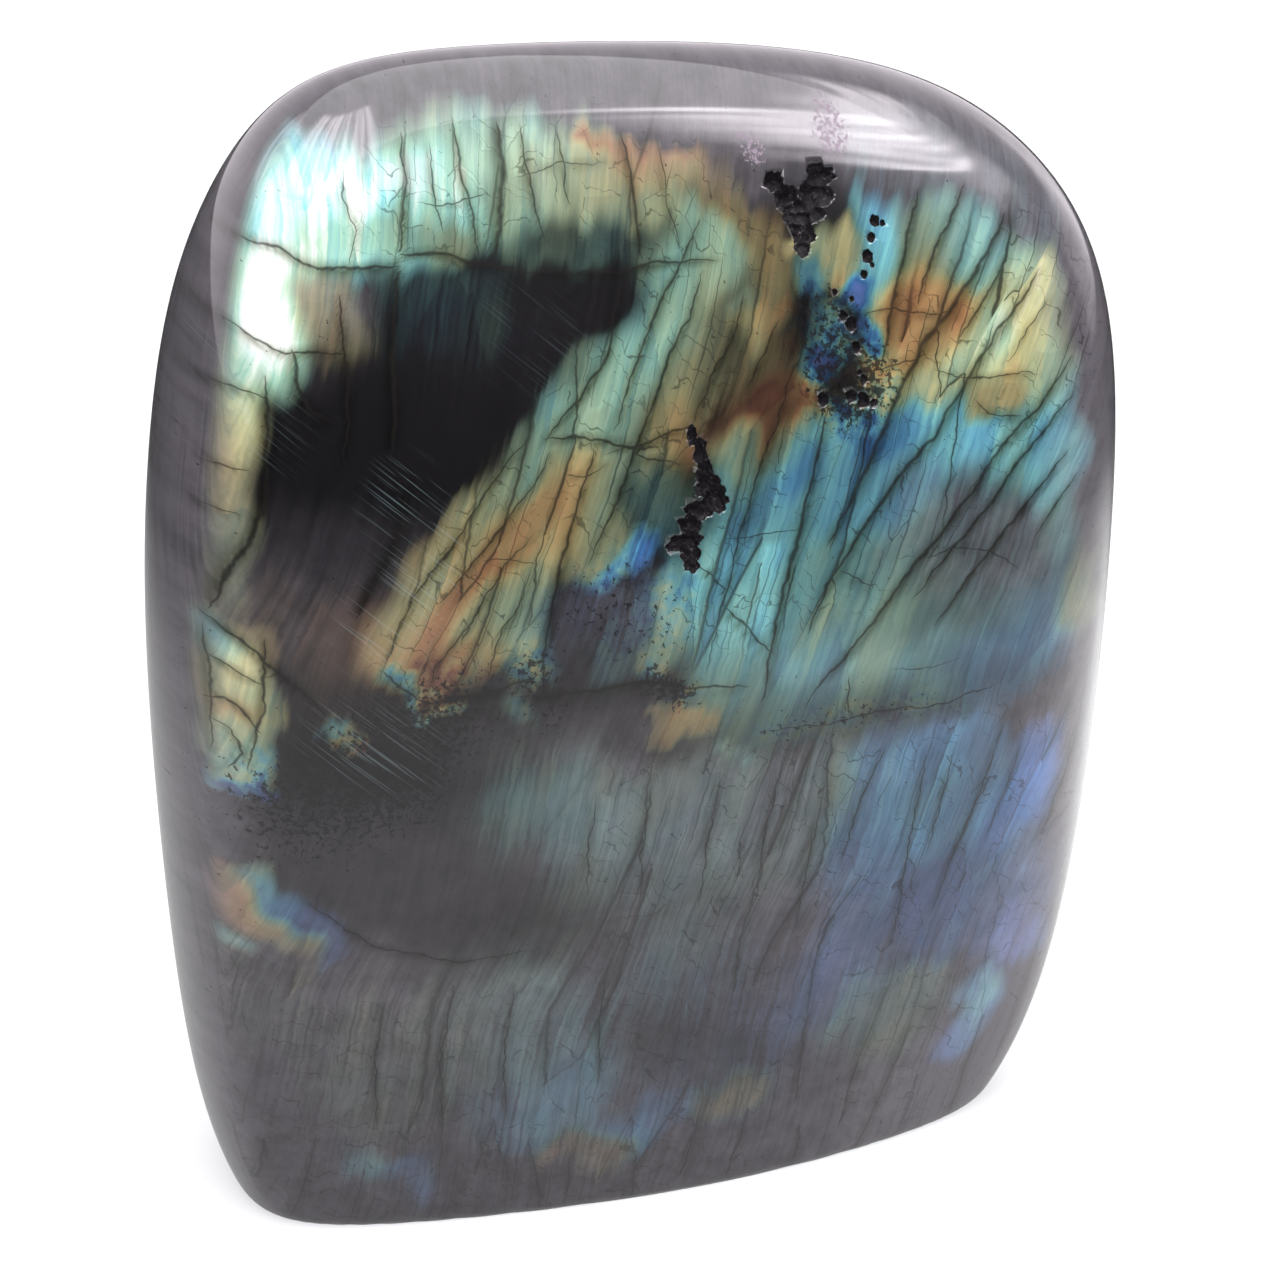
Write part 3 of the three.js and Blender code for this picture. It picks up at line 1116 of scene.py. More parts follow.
# Flashes of the front, from the lowest to the uppermost.
FRONT_FLASHES: tuple[Flash, ...] = (
    # quiet body glows first, then brighter ones over them
    Flash(6, ((-50, 84, 2, .88, .06), (-42, 80, 3, .94, .07))),
    Flash(5, ((-24, 115, 1.5, .52, .04), (-33, 115, 1.5, .50, .05))),
    Flash(3, ((-30, 117.5, 1, .50, .08), (-31, 114, 1, .46, .04))),
    Flash(7, (
        (-22, 59, 2.5, .60, .14), (-17, 58, 3, .56, .15), (-8, 51, 8, .56, .10), (6, 52, 9, .58, .095),
        (13, 54, 5, .56, .10),
    )),
    Flash(8, (
        (-50, 34, 3, .72, .07), (-36, 24, 7, .64, .06), (-22, 28, 7, .56, .11), (-17, 20, 5, .54, .12),
    )),
    Flash(8, ((-2, 34, 5, .50, .07), (8, 26, 6, .20, .06), (4, 18, 5, .20, .05))),
    Flash(6, ((18, 27, 3, .44, .12), (26, 21, 5, .60, .10))),
    # blue of the lower right
    Flash(4, ((18, 44, 2, .42, .16), (21, 56, 3, .38, .27), (28, 57, 3, .36, .31), (32, 58, 2, .34, .27))),
    Flash(5, ((20, 37, 5, .30, .15), (24, 46, 6, .37, .25), (30, 46, 4, .34, .21))),
    Flash(4, ((34, 56, 2, .30, .18), (35, 44, 3, .24, .20), (32, 34, 5, .26, .18))),
    Flash(6, ((37, 44, 3, .30, .22), (40, 36, 4, .28, .22), (43, 28, 3, .26, .19))),
    Flash(3, ((42, 55, 1.5, .22, .46), (42, 51, 2.5, .20, .60), (38, 45, 2, .22, .38))),
    Flash(4, ((17, 32, 2, .26, .17), (13, 25, 1.5, .24, .13), (7, 19, 2, .20, .07))),
    Flash(2.5, ((42, 29, 1.5, .16, .32), (45, 25, 1.5, .16, .34))),
    Flash(3, ((37, 20, 1, .40, .30), (39.5, 19, 2, .46, .42), (39, 15, 1, .38, .28))),
    Flash(2, ((35, 12, 1, .20, .26), (37, 13, 1, .26, .28))),
    # bottom edge
    Flash(4, ((-25, 16, 1, .40, .08), (-20, 12, 2, .34, .09))),
    Flash(4, ((-20, 24, 2, .56, .12), (-16, 16, 3, .48, .16))),
    Flash(3, ((-13, 9, 1, .46, .16), (-7, 9, 2, .34, .18), (-3, 12, 1.5, .32, .13))),
    Flash(2.5, ((-16.5, 7.5, .6, .92, .11), (-14, 8, 1, .80, .10), (-9, 6.5, .6, .84, .10))),
    Flash(3, ((3, 12, 1, .76, .10), (7, 13, 1.5, .74, .10))),
    Flash(2.5, ((-40, 10, 1, .50, .12), (-36, 8, .5, .44, .10))),
    Flash(2.5, ((-32.5, 8, 1, .26, .14), (-32, 5, 1, .30, .13))),
    Flash(2, ((-54.5, 50, .6, .95, .42), (-53, 46, 1.5, .90, .30), (-48, 43, 1, .84, .18))),
    Flash(2, ((-52, 50, .5, .56, .24), (-48, 46, .8, .26, .18), (-44, 42, .5, .24, .10))),
    Flash(1.5, ((-54.5, 41, .5, .54, .36), (-52.5, 40.4, .4, .56, .2))),
    # teal field of the upper right
    Flash(5, ((3, 70, 4, .54, .34), (12, 72, 6, .55, .38), (20, 72, 5, .56, .35), (30, 70, 4, .46, .24))),
    Flash(5, ((22, 80, 4, .54, .20), (30, 78, 5, .52, .14), (37, 76, 3, .44, .12))),
    Flash(4, ((41, 76, 2, .40, .27), (41, 70, 2.5, .34, .27), (35, 67, 2, .34, .23))),
    Flash(3, ((46, 77, 1, .64, .26), (46.5, 72, 1.2, .68, .30))),
    Flash(4, ((-5, 78, 2, .51, .45), (1, 78, 4, .50, .61), (6, 84, 5, .50, .51), (12, 82, 4, .57, .39))),
    Flash(3, ((-4, 81, 1, .46, .43), (2, 86, 2.5, .46, .68), (3, 80, 2, .48, .60))),
    Flash(4, ((18, 84, 3, .56, .32), (24, 87, 3, .54, .25), (18, 77, 3, .56, .36))),
    Flash(4, ((4, 92, 3, .45, .35), (12, 93, 4, .46, .40), (22, 91, 4, .48, .38), (32, 91, 3, .50, .33))),
    Flash(3, ((7, 97, 1, .56, .40), (14, 98, 2, .50, .47), (20, 98.5, 1, .44, .54))),
    Flash(2, ((20.5, 96, 1.5, .32, .36), (23, 98.5, 1, .34, .38))),
    Flash(2.5, ((9.5, 94, 1, .36, .34), (11, 96, 1, .38, .36))),
    Flash(3.5, ((26, 97, 2, .50, .59), (31, 96, 2.5, .50, .73), (34.5, 93.5, 1, .48, .59))),
    Flash(5, ((26, 84, 3, .54, .14), (31, 86, 3, .52, .10), (37, 81, 3, .48, .07))),
    Flash(3.5, (
        (41, 99, 1.5, .52, .52), (41, 94, 3, .51, .59), (42, 88, 2, .50, .47), (43, 83, 1, .52, .26),
    )),
    # gold country above it
    Flash(4, (
        (30, 119, 1, .60, .61), (36, 115, 3, .64, .81), (39, 108, 2.7, .68, .86), (40, 102, 2, .66, .66),
    )),
    Flash(3.5, ((22.5, 118.5, 1.7, .48, .74), (22, 114, 1.5, .50, .58), (34, 116.5, 2, .54, .70))),
    Flash(3.5, ((28, 117, 2, .66, .46), (27, 113, 2, .78, .51))),
    Flash(3, (
        (21, 105, 1.5, .92, .75), (26, 108, 4, .90, .83), (31, 107, 3, .84, .88), (34, 103, 2, .82, .75),
    )),
    Flash(2.5, ((24, 108, 2, .94, .65), (29, 107, 2, .90, .67), (26, 105, 1.5, .90, .62))),
    Flash(2.4, (
        (21, 101.8, .8, .74, .70), (27, 101.5, 1, .76, .80), (32.5, 104, 1.2, .70, .96),
        (34.8, 107.5, 1.6, .63, 1.12),
    )),
    Flash(1.6, ((33.2, 99.8, 1.2, .84, .44), (36, 99.8, 1, .80, .40))),
    Flash(4, ((24, 126, 2, .5, .06), (34, 125, 3, .5, .06), (43, 118, 2, .5, .08))),
    # olive and brown middle
    Flash(5, ((-4, 106, 3, .68, .18), (3, 108, 4, .70, .12), (6, 103, 4, .84, .09))),
    Flash(3, ((0, 116, 1, .74, .32), (-4, 110, 2, .68, .36), (-8, 103, 2, .68, .42))),
    Flash(2.5, ((4, 99, .8, .94, .22), (8, 101, 2, .98, .26), (11, 103, 1, .94, .24))),
    Flash(2.5, ((2.5, 98, .8, .60, .34), (3.5, 94, .8, .56, .40))),
    Flash(2, ((5, 113, .5, .66, .32), (6, 111, 1, .76, .40), (8, 112, 1, .84, .35))),
    Flash(1.6, ((14.5, 117.5, .8, .68, .39), (16.5, 118, 1, .74, .42), (17.5, 114.5, .6, .80, .36))),
    Flash(1.6, ((13, 114.5, .6, .44, .31), (15.5, 115, .6, .50, .32))),
    Flash(.8, ((12, 117.2, .6, .76, .55),)),
    Flash(2, ((12.5, 105, .5, .28, .26), (14.5, 107, 1, .40, .26), (15, 110.5, .8, .50, .24))),
    Flash(1.3, ((19.3, 108, .6, .30, .52), (19.3, 106.5, .4, .24, .40))),
    Flash(1.4, ((19.6, 113, .4, .14, .44), (19.4, 111.5, .4, .26, .44))),
    Flash(2.5, (
        (-4, 124, 1.5, .72, .41), (2, 121, 2, .62, .46), (4.5, 121, .8, .58, .46), (6, 117, .8, .72, .31),
    )),
    # crown of the upper left; its glow past 1 is painted burnt out to white, as a highlight
    Flash(4.2, (
        (-46.5, 125, 3.3, .53, 1.35), (-37.5, 125.6, 3.4, .55, 1.34), (-27.5, 126.8, 3.4, .57, 1.12),
        (-17.5, 127.8, 2.8, .56, .98), (-11.5, 127.2, 2, .60, .76),
    )),
    Flash(2.2, (
        (-47, 123, 2, .52, 1.25), (-38, 123, 1.6, .58, .95), (-32, 123, 1.4, .62, .52),
        (-27, 122.2, 1.4, .66, .36),
    )),
    Flash(3.5, ((-20, 124.5, 2.6, .60, .58), (-12, 124, 3, .64, .50), (-6, 125.5, 2, .72, .38))),
    Flash(3, ((2, 125, 1.6, .80, .16), (7, 121, 1.8, .80, .20), (9, 116, 1.2, .78, .22))),
    Flash(2.5, ((-18, 121, 1.2, .6, .10), (-10, 120.5, 1.5, .6, .10), (-5, 119.5, 1, .6, .09))),
    Flash(1.4, ((-10, 130.4, .3, .90, .50), (-5, 129, .4, .93, .60), (1, 127.4, .4, .93, .48))),
    Flash(2, ((-6, 128, .5, .84, .45), (1, 126, .5, .80, .34))),
    # left edge; its glow past 1 is painted burnt out to white, as a highlight
    Flash(3.0, ((-47.3, 119, 1.6, .52, 1.9), (-48.2, 114, 1.6, .54, 2.1), (-49.5, 109.5, .8, .60, 1.3))),
    Flash(3, ((-43, 117, 2, .70, .26), (-41, 114, 2, .80, .16))),
    Flash(2.2, (
        (-51, 110, 1.4, .62, 1.05), (-52.6, 104, 1.6, .72, .84), (-53.8, 98, 1.2, .72, .54),
        (-54.9, 90, 1.1, .70, .38), (-55.3, 84, 1, .70, .32),
    )),
    Flash(1.5, ((-54.5, 81, .8, .76, .30), (-52, 79.5, 1.2, .84, .26))),
    # left cell of yellow and green
    Flash(2.0, (
        (-55.4, 79.5, 1, .56, 1.0), (-54, 76, 2.2, .73, .92), (-53.5, 71, 2.4, .74, .80),
        (-54.5, 67, 2, .64, .80), (-53.5, 64.8, 1.3, .58, .60),
    )),
    Flash(1.4, ((-55, 71.8, .3, .86, .72), (-52.8, 72.3, .4, .84, .60))),
    Flash(.9, ((-55.5, 61.7, .3, .40, .46), (-53, 62.4, .3, .28, .34), (-51, 62.8, .3, .22, .24))),
    # copper band
    Flash(4.0, (
        (-37, 79, 1.8, .86, .44), (-31, 84, 2.8, .80, .54), (-24, 90, 3.4, .76, .50),
        (-17, 95, 3.4, .80, .46), (-12, 99, 2.6, .72, .44),
    )),
    Flash(3.0, (
        (-37, 78.5, 1.0, .93, .50), (-32, 82, 1.8, .92, .62), (-27, 87, 1.2, .90, .56),
        (-20, 93, 1.4, .90, .52), (-15, 98, .8, .84, .46),
    )),
    Flash(2.5, ((-30, 80, .8, .70, .34), (-27, 83.5, .8, .66, .34))),
    Flash(3.0, (
        (-12, 102.5, 2.0, .66, .50), (-17, 103.5, 1.2, .62, .54), (-8, 108, 2.0, .64, .68),
        (-3, 114, 1.6, .66, .54), (2, 119, 1, .62, .50),
    )),
    Flash(2.6, (
        (-38.5, 79, .4, .82, .44), (-34.5, 86, .6, .75, .48), (-28.5, 92, 1.0, .73, .48),
        (-23.5, 97, 1.3, .68, .52), (-19, 101, .8, .64, .50),
    )),
    Flash(3.5, ((-8, 98, 1.6, .74, .34), (-4, 99.5, .8, .84, .36))),
    Flash(3, ((-13, 91, 1, .78, .42), (-15, 87, 1, .76, .36), (-12, 89, .8, .72, .42))),
    Flash(1.4, ((-13, 84, .7, .56, .70), (-11, 86.5, .8, .52, .70), (-9, 89, .4, .42, .46))),
    Flash(1.3, ((-9.2, 85.5, .5, .30, .50), (-8, 88, .6, .26, .48))),
    Flash(3, ((-7, 93, 2, .60, .12), (-5, 89, 1, .5, .10))),
    Flash(2.4, (
        (-33, 76, 1.2, .93, .32), (-28, 77.5, 1.2, .82, .36), (-23.5, 80, 1.9, .66, .46),
        (-22, 85, 1.2, .70, .40), (-22.5, 76, 1.5, .58, .28),
    )),
    Flash(1.2, ((-38.5, 75.8, .4, .42, .36), (-36, 74, .5, .48, .34))),
    Flash(.8, ((-34.5, 71.6, .2, .62, .40), (-32, 71.4, .3, .72, .42), (-30.3, 72.2, .2, .56, .34))),
    # between the band and the sky field
    Flash(4, ((-17, 80, 2, .32, .07), (-12, 79, 3, .42, .09), (-13, 75.5, 1.5, .48, .13))),
    Flash(1.5, ((-24, 70.6, .6, .52, .17), (-22.5, 69.5, .6, .54, .16))),
    Flash(2, ((-7, 75, 1, .62, .46), (-6, 80, 1, .58, .44))),
    Flash(1.2, ((-8, 66.5, .5, .78, .30), (-4, 67, 1.4, .78, .50), (-1.5, 66, 1, .76, .44))),
    Flash(1.0, ((0, 62.3, .4, .56, .34), (4, 61.4, .3, .56, .26))),
    Flash(1.4, ((-44, 70, .8, .50, .34), (-42.5, 68.5, .8, .86, .26))),
)

# Flashes of the back, from the lowest to the uppermost.
BACK_FLASHES: tuple[Flash, ...] = (
    Flash(12, ((-30, 60, 8, .46, .26), (0, 80, 12, .42, .40), (28, 100, 8, .50, .34))),
    Flash(9, ((-20, 90, 5, .34, .40), (0, 104, 6, .30, .46), (20, 112, 4, .40, .40))),
    Flash(5, ((8, 66, 3, .74, .40), (22, 78, 4, .84, .48), (32, 88, 2, .88, .34))),
    Flash(6, ((-34, 34, 4, .12, .28), (-22, 44, 4, .22, .30))),
)


# Milky grey in the stone, and along the top face and the right rim a painted reflection of the pale room:
# soft edge, then points (x, z, radius, strength).
MILK_AND_SHEEN_VEILS: Veils = (
    (16, ((-60, 40, 22, 0.55), (60, 40, 24, 0.60))),
    (14, ((-60, 8, 22, 0.50), (-30, 8, 12, 0.40), (10, 8, 14, 0.52), (60, 8, 22, 0.90))),
    (10, ((-6, 29, 4, 0.38), (6, 21, 4, 0.38))),
    (8, ((24, 15, 4, 0.50),)),
    (10, ((24, 50, 4, 0.30), (36, 50, 4, 0.35), (28, 36, 3, 0.35))),
    (6, ((51, 60, 5, 1.0), (51, 118, 5, 1.0))),
    (8, ((28, 5, 3, 0.9), (44, 9, 4, 1.5), (49, 24, 3, 1.2), (50, 44, 3, 1.0))),
    (8, ((-40, 136, 4, 0.7), (20, 134, 4, 0.9), (46, 120, 5, 0.9))),
    (5, ((-43, 116, 3, 0.9), (-42, 111, 2, 0.40))),
    (10, ((-38, 100, 10, 0.0), (-22, 110, 6, 0.02))),
    (10, ((-48, 84, 3, 0.34), (-38, 82, 4, 0.20))),
    (6, ((27, 85, 4, 0.52), (37, 81, 4, 0.66))),
    (5, ((-17, 80, 3, 0.30), (-10, 78, 3, 0.38))),
    (8, ((-44, 62, 5, 0.06), (-28, 61, 5, 0.16))),
    (8, ((-44, 52, 5, 0.22), (-22, 44, 3, 0.25))),
)

# Crumbly grit in the surface: soft edge, then points (x, z, radius, strength).
GRIT_VEILS: Veils = (
    (60, ((0, 60, 60, 0.0),)),
    (7, ((-48, 60, 3, 0.75), (-38, 65, 4, 1.0), (-32, 71, 1.5, 0.9))),
    (3, ((-22, 75, 1.2, 0.8), (-20, 70, 1, 0.6))),
    (5, ((-15, 81, 2, 0.42), (-8, 78, 2, 0.36))),
    (3, ((-12, 84, 0.5, 0.5), (-4, 82, 0.5, 0.3))),
    (2, ((-8, 72, 0.6, 1.0), (-4.5, 69.5, 0.8, 1.0))),
    (2.5, ((6, 63.4, 0.3, 0.45), (17, 64, 0.3, 0.55), (26, 64.2, 0.3, 0.45))),
    (4, ((14, 110, 2, 0.7), (17, 103, 3, 1.0))),
)


# How far the stone is cracked along its grain: soft edge, then points (x, z, radius, strength).
CRACK_VEILS: Veils = (
    (20, ((-50, 20, 20, 0.60), (50, 20, 20, 0.55))),
    (12, ((-40, 52, 8, 0.12), (-18, 48, 6, 0.20))),
    (10, ((0, 50, 12, 0.70), (36, 50, 10, 0.70))),
    (8, ((-35, 112, 10, 0.26), (-36, 92, 8, 0.26))),
    (8, ((-30, 127, 5, 0.70), (-5, 127, 5, 0.60))),
    (8, ((-32, 80, 5, 0.80), (-8, 106, 6, 0.95), (2, 116, 5, 0.95))),
    (8, ((-2, 80, 5, 0.80), (12, 88, 9, 0.90), (38, 108, 8, 1.0))),
)

# Dark shades in the stone: soft edge, then points (x, z, radius, strength).
SHADE_VEILS: Veils = (
    (4, ((-40, 71, 1.5, 0.60), (-26, 71.5, 1.2, 0.65), (-10, 71.5, 1.2, 0.65), (2, 70, 0.8, 0.50))),
    (3, ((-12, 66.5, 0.8, 0.45), (-5, 65.5, 0.4, 0.30))),
    (4, (
        (-4, 65, 1.7, 0.64), (6, 64.6, 1.7, 0.70), (16, 64.6, 1.9, 0.72), (30, 65.3, 1.6, 0.62),
        (42, 67, 1.1, 0.48),
    )),
    (6, ((-48, 70, 3, 0.50), (-38, 68, 3, 0.52))),
    (4, ((-26, 74.0, 1.2, 0.35), (-12, 74.5, 1.6, 0.50), (3, 72.5, 1.4, 0.40))),
    (6, ((38, 73, 2, 0.25), (46, 76, 2, 0.45))),
    (6, ((-30, 41, 2.0, 0.35), (-12, 43, 2.0, 0.35))),
    (6, ((-4, 24, 2.0, 0.30), (6, 18, 2.0, 0.30))),
    (5, ((26, 77, 2.0, 0.25), (34, 82, 2.0, 0.30))),
    (5, ((-10, 44, 1.5, 0.30), (2, 42, 1.5, 0.35))),
    (4, ((13, 112, 2.5, 0.45), (17, 103, 2.5, 0.55))),
    (3, ((-2, 95, 1.5, 0.55), (-3, 88, 2.0, 0.60))),
    (5, ((-30, 119, 1.0, 0.45), (-22, 119.5, 1.0, 0.40), (-6, 118, 1.0, 0.35))),
)

# Fine pale needles that lean against the grain: soft edge, then points (x, z, radius, strength).
NEEDLE_VEILS: Veils = (
    (4, ((-36, 96, 1.5, 1.0), (-33, 88, 2.0, 1.0), (-39, 82, 2.5, 0.9))),
    (4, ((-43, 69, 2.0, 0.9), (-37, 66, 2.0, 0.8))),
    (4, ((-52, 112, 1.5, 0.5), (-50, 104, 2.0, 0.5))),
    (3, ((-20, 112, 4.0, 0.25),)),
)

# Frosty, unpolished patches: soft edge, then points (x, z, radius, strength).
FROST_VEILS: Veils = (
    (1.5, ((18.8, 131.0, 0.8, 0.9), (18.8, 128.6, 1.4, 1.0))),
    (1.2, ((8.3, 129.2, 0.4, 0.8), (9.0, 127.8, 0.8, 0.9))),
)

# Cracks along the grain.
LONG_CRACKS: tuple[Crack, ...] = (
    # crown
    Crack(0.32, ((-33.5, 120), (-32.5, 124), (-31.5, 127.5), (-31, 133))),
    Crack(0.50, ((-33.5, 121), (-34.5, 116.5), (-35.5, 112), (-36, 106), (-37, 100))),
    Crack(0.16, ((-39, 120), (-37.5, 124), (-38.5, 127), (-37.5, 130))),
    Crack(0.18, ((-28, 132), (-28.5, 128), (-28, 122.5))),
    Crack(0.28, ((-24.8, 134), (-25, 129), (-24.5, 123), (-24.5, 120))),
    Crack(0.70, ((-20, 133), (-20.3, 128.5), (-21.5, 124), (-22.8, 119.5))),
    Crack(0.22, ((-17.4, 133), (-17.5, 127), (-17, 121))),
    Crack(0.18, ((-13.3, 132), (-13.5, 124))),
    Crack(0.34, ((-6, 131), (-5.8, 126), (-6.2, 118))),
    Crack(0.16, ((-2, 130), (-2.2, 124), (-1.5, 119))),
    # left edge and the black field
    Crack(0.45, ((-48.8, 110), (-49.5, 103), (-50, 97), (-51.5, 92), (-54, 87), (-55.5, 82))),
    Crack(0.40, ((-46, 112.5), (-46, 108), (-44.5, 106), (-42.5, 104.5))),
    Crack(0.30, ((-40.5, 118), (-40.8, 108), (-42, 100))),
    Crack(0.45, ((-35.5, 97), (-36.5, 92), (-39, 88), (-42, 83))),
    Crack(0.22, ((-56, 81), (-55.6, 74), (-55.8, 65))),
    Crack(0.30, ((-51, 81), (-51, 76), (-51.5, 71), (-53, 64))),
    # band
    Crack(0.25, ((-39, 77), (-37, 82), (-34.5, 86.5), (-31, 90), (-28, 94), (-24.5, 98.5), (-21, 101.5))),
    Crack(0.20, ((-34.5, 73), (-33, 77), (-29, 81.5), (-25, 87.5), (-21, 91))),
    Crack(0.22, ((-33, 83.5), (-29.5, 87), (-25, 92), (-20.5, 97), (-18.5, 100))),
    Crack(0.38, ((-21, 71), (-20.5, 78), (-19, 85), (-17.5, 90), (-15.5, 95), (-14, 99.5))),
    Crack(0.18, ((-27.5, 74), (-26, 79), (-23, 83.5), (-21.5, 87))),
    Crack(0.30, ((-15.5, 86), (-12.5, 91.5), (-9.5, 98), (-7, 103), (-4.5, 108), (-1.5, 112), (1, 117))),
    Crack(0.30, ((-20, 100.5), (-15, 105), (-11.5, 109), (-10, 113), (-8.7, 116.5))),
    Crack(0.28, ((-11.8, 100.5), (-9.5, 105.5), (-7, 110), (-4, 115), (-1, 118.5), (1.5, 122))),
    Crack(0.24, ((-2.5, 100.5), (0, 105), (3, 109), (5.5, 114))),
    Crack(0.20, ((4, 103.5), (6.5, 107), (9, 111))),
    # sky field
    Crack(0.26, ((-1.8, 71), (0, 78), (1.5, 83), (2.8, 88), (4.5, 93), (7, 98.5), (10, 105))),
    Crack(0.46, ((5.3, 67), (6.5, 75), (8.5, 83), (10.7, 90), (12.3, 96), (14, 101))),
    # fan of the right
    Crack(0.62, (
        (13.2, 85), (15, 88), (18.5, 94), (20.5, 98), (23, 102.5), (26.5, 107), (31, 111), (35, 115),
        (38.5, 119),
    )),
    Crack(0.44, (
        (10.5, 74.5), (13, 80), (18, 87), (22, 92), (26.5, 96), (30.5, 101.5), (35, 106.5), (42, 113),
    )),
    Crack(0.44, (
        (10.3, 65.5), (12.5, 68.5), (16, 72), (19, 75.3), (24, 81.5), (28, 85.5), (31.5, 89.5), (35, 94),
        (39, 97), (45, 103),
    )),
    Crack(0.36, ((23.5, 77), (29, 83), (34, 88), (37, 92), (40.5, 95), (45, 99))),
    Crack(0.32, ((26, 73), (31, 79), (36, 84.5), (40, 88.5), (44, 92.5))),
    Crack(0.20, ((39, 82), (42.5, 86.5), (45.5, 89.5))),
    Crack(0.44, ((20.3, 104), (22, 109), (23.5, 113), (25.5, 117.5), (28, 122.5))),
    Crack(0.30, ((25.5, 110.5), (28, 115), (31.5, 119.5), (34, 122.5))),
    Crack(0.26, ((30, 106), (33.8, 110.2), (37.5, 114))),
    Crack(0.16, ((36, 103), (39, 106.5), (42.5, 109.5))),
    Crack(0.22, ((16.2, 63.5), (15.8, 66.5), (16, 69.3))),
    Crack(0.20, ((7.5, 99), (9, 103), (11, 107))),
    # lower field
    Crack(0.18, ((26.5, 59), (25, 46), (24.5, 30))),
    Crack(0.22, ((36.5, 60), (33.5, 49), (31, 41.5), (29.5, 34))),
    Crack(0.16, ((39.5, 57), (37.5, 50), (35.5, 43))),
    Crack(0.20, ((21, 60), (18, 52.5), (16, 44))),
    Crack(0.18, ((30, 58), (28.5, 50), (27.5, 43))),
    Crack(0.20, ((8, 60), (6, 50), (5.5, 40))),
    Crack(0.18, ((13.5, 57), (12, 47), (11, 36))),
    Crack(0.18, ((0.5, 60), (-1, 50), (-1.5, 41))),
    Crack(0.18, ((-8, 60), (-9, 50), (-8.5, 43))),
    Crack(0.16, ((-14.5, 59), (-15.5, 51), (-15, 45))),
    Crack(0.18, ((-30, 36), (-31, 26), (-30, 12))),
    Crack(0.16, ((-38, 34), (-38.5, 25), (-37.5, 14))),
    Crack(0.16, ((-23, 35), (-23.5, 24), (-22.5, 14))),
    Crack(0.16, ((-12, 36), (-12.5, 27), (-11.5, 18))),
)

# Cracks across the grain.
CROSS_CRACKS: tuple[Crack, ...] = (
    # crown and left edge
    Crack(0.32, ((-51, 123), (-46, 122.3), (-43.5, 120.8), (-41.5, 120.2), (-33, 120))),
    Crack(0.42, ((-33.5, 121), (-30, 121.2), (-27.5, 120.5), (-25, 119.5), (-20.5, 118.8))),
    Crack(0.30, ((-21, 118.3), (-14, 117.6), (-9, 117.3), (-4, 117.8), (3, 117.5))),
    Crack(0.14, ((-31, 126), (-26, 125.5), (-22, 126.5))),
    Crack(0.12, ((-20, 127), (-14, 128.5), (-8, 128))),
    Crack(0.26, ((-53, 115.3), (-49.5, 113), (-47, 112), (-44, 112.2), (-40, 111.6))),
    Crack(0.20, ((-55, 107.5), (-52, 107.8), (-48.5, 107.2))),
    Crack(0.14, ((-55.5, 99), (-51, 99.5))),
    Crack(0.14, ((-56, 94), (-52, 94.3))),
    Crack(0.36, ((-56.5, 82), (-53, 80), (-50.5, 77.5), (-47.5, 75), (-45, 71.5))),
    Crack(0.24, ((-56, 77), (-53, 75.8), (-51, 75.2))),
    Crack(0.24, ((-56.3, 71.3), (-54.5, 72.6), (-53, 71.5), (-51.3, 69))),
    Crack(0.20, ((-56, 69.5), (-54.3, 69), (-53.2, 66.5), (-54.5, 63.5))),
    # band
    Crack(0.32, ((-20, 101.2), (-15.5, 100.7), (-12, 99.8), (-9.3, 98.8), (-7, 99.5), (-2, 100.6))),
    Crack(0.22, ((-9.8, 98.2), (-7, 97.3), (-4, 96.4))),
    Crack(0.14, ((-18, 96.8), (-15, 96.3), (-12.5, 97.6))),
    Crack(0.14, ((-31.5, 89), (-29, 86.5), (-26.5, 84.5))),
    Crack(0.14, ((-28, 88.5), (-24.5, 88.2), (-20.5, 86.8))),
    Crack(0.34, ((-39.5, 77.5), (-37, 74.5), (-34, 72.6), (-30, 72.8), (-26, 73), (-21, 74.5))),
    # sky field and the right
    Crack(0.24, ((-2.5, 85), (0, 82.5), (1.5, 81))),
    Crack(0.26, ((0, 80), (3, 77), (5, 74.5), (7, 72.8))),
    Crack(0.14, ((0, 87.6), (3, 87), (6, 87.2), (11, 87.6))),
    Crack(0.18, ((18.5, 110.2), (22, 110.6), (25, 110), (27.5, 109.3), (30.5, 110))),
    Crack(0.20, ((19.5, 104), (23, 104.8), (26.5, 105.2))),
    Crack(0.18, ((26.5, 103.6), (29, 102.8), (31, 102.2), (34, 101.8), (38, 102), (40.5, 101))),
    Crack(0.18, ((31.8, 99.8), (32.8, 98.4), (35, 97.5), (38, 96.8))),
    Crack(0.18, ((14.5, 82), (17, 80.5), (19, 79.3))),
    Crack(0.12, ((20.5, 69), (26, 68.4), (31, 69.2))),
    Crack(0.16, ((24, 82), (29, 82.8), (34, 81.5), (38, 78.5))),
    # seams
    Crack(0.42, ((-24, 72), (-16, 71.5), (-9, 72), (-4, 70.5), (4, 69.5))),
    Crack(0.22, ((5, 63.8), (13, 63.4), (20, 64.2), (27, 63.5), (36, 65))),
    Crack(0.18, ((-48, 49), (-40, 42), (-30, 38.5), (-20, 39))),
)


# --- Patterns along the grain ---

THINNEST = 0.001
NOISE_SPAN = (0.25, 0.75)


def numbers(**values: float) -> dict[str, tuple[str, float]]:
    """Returns group inputs that are plain numbers, with their defaults."""
    return {name: (FLOAT, value) for name, value in values.items()}


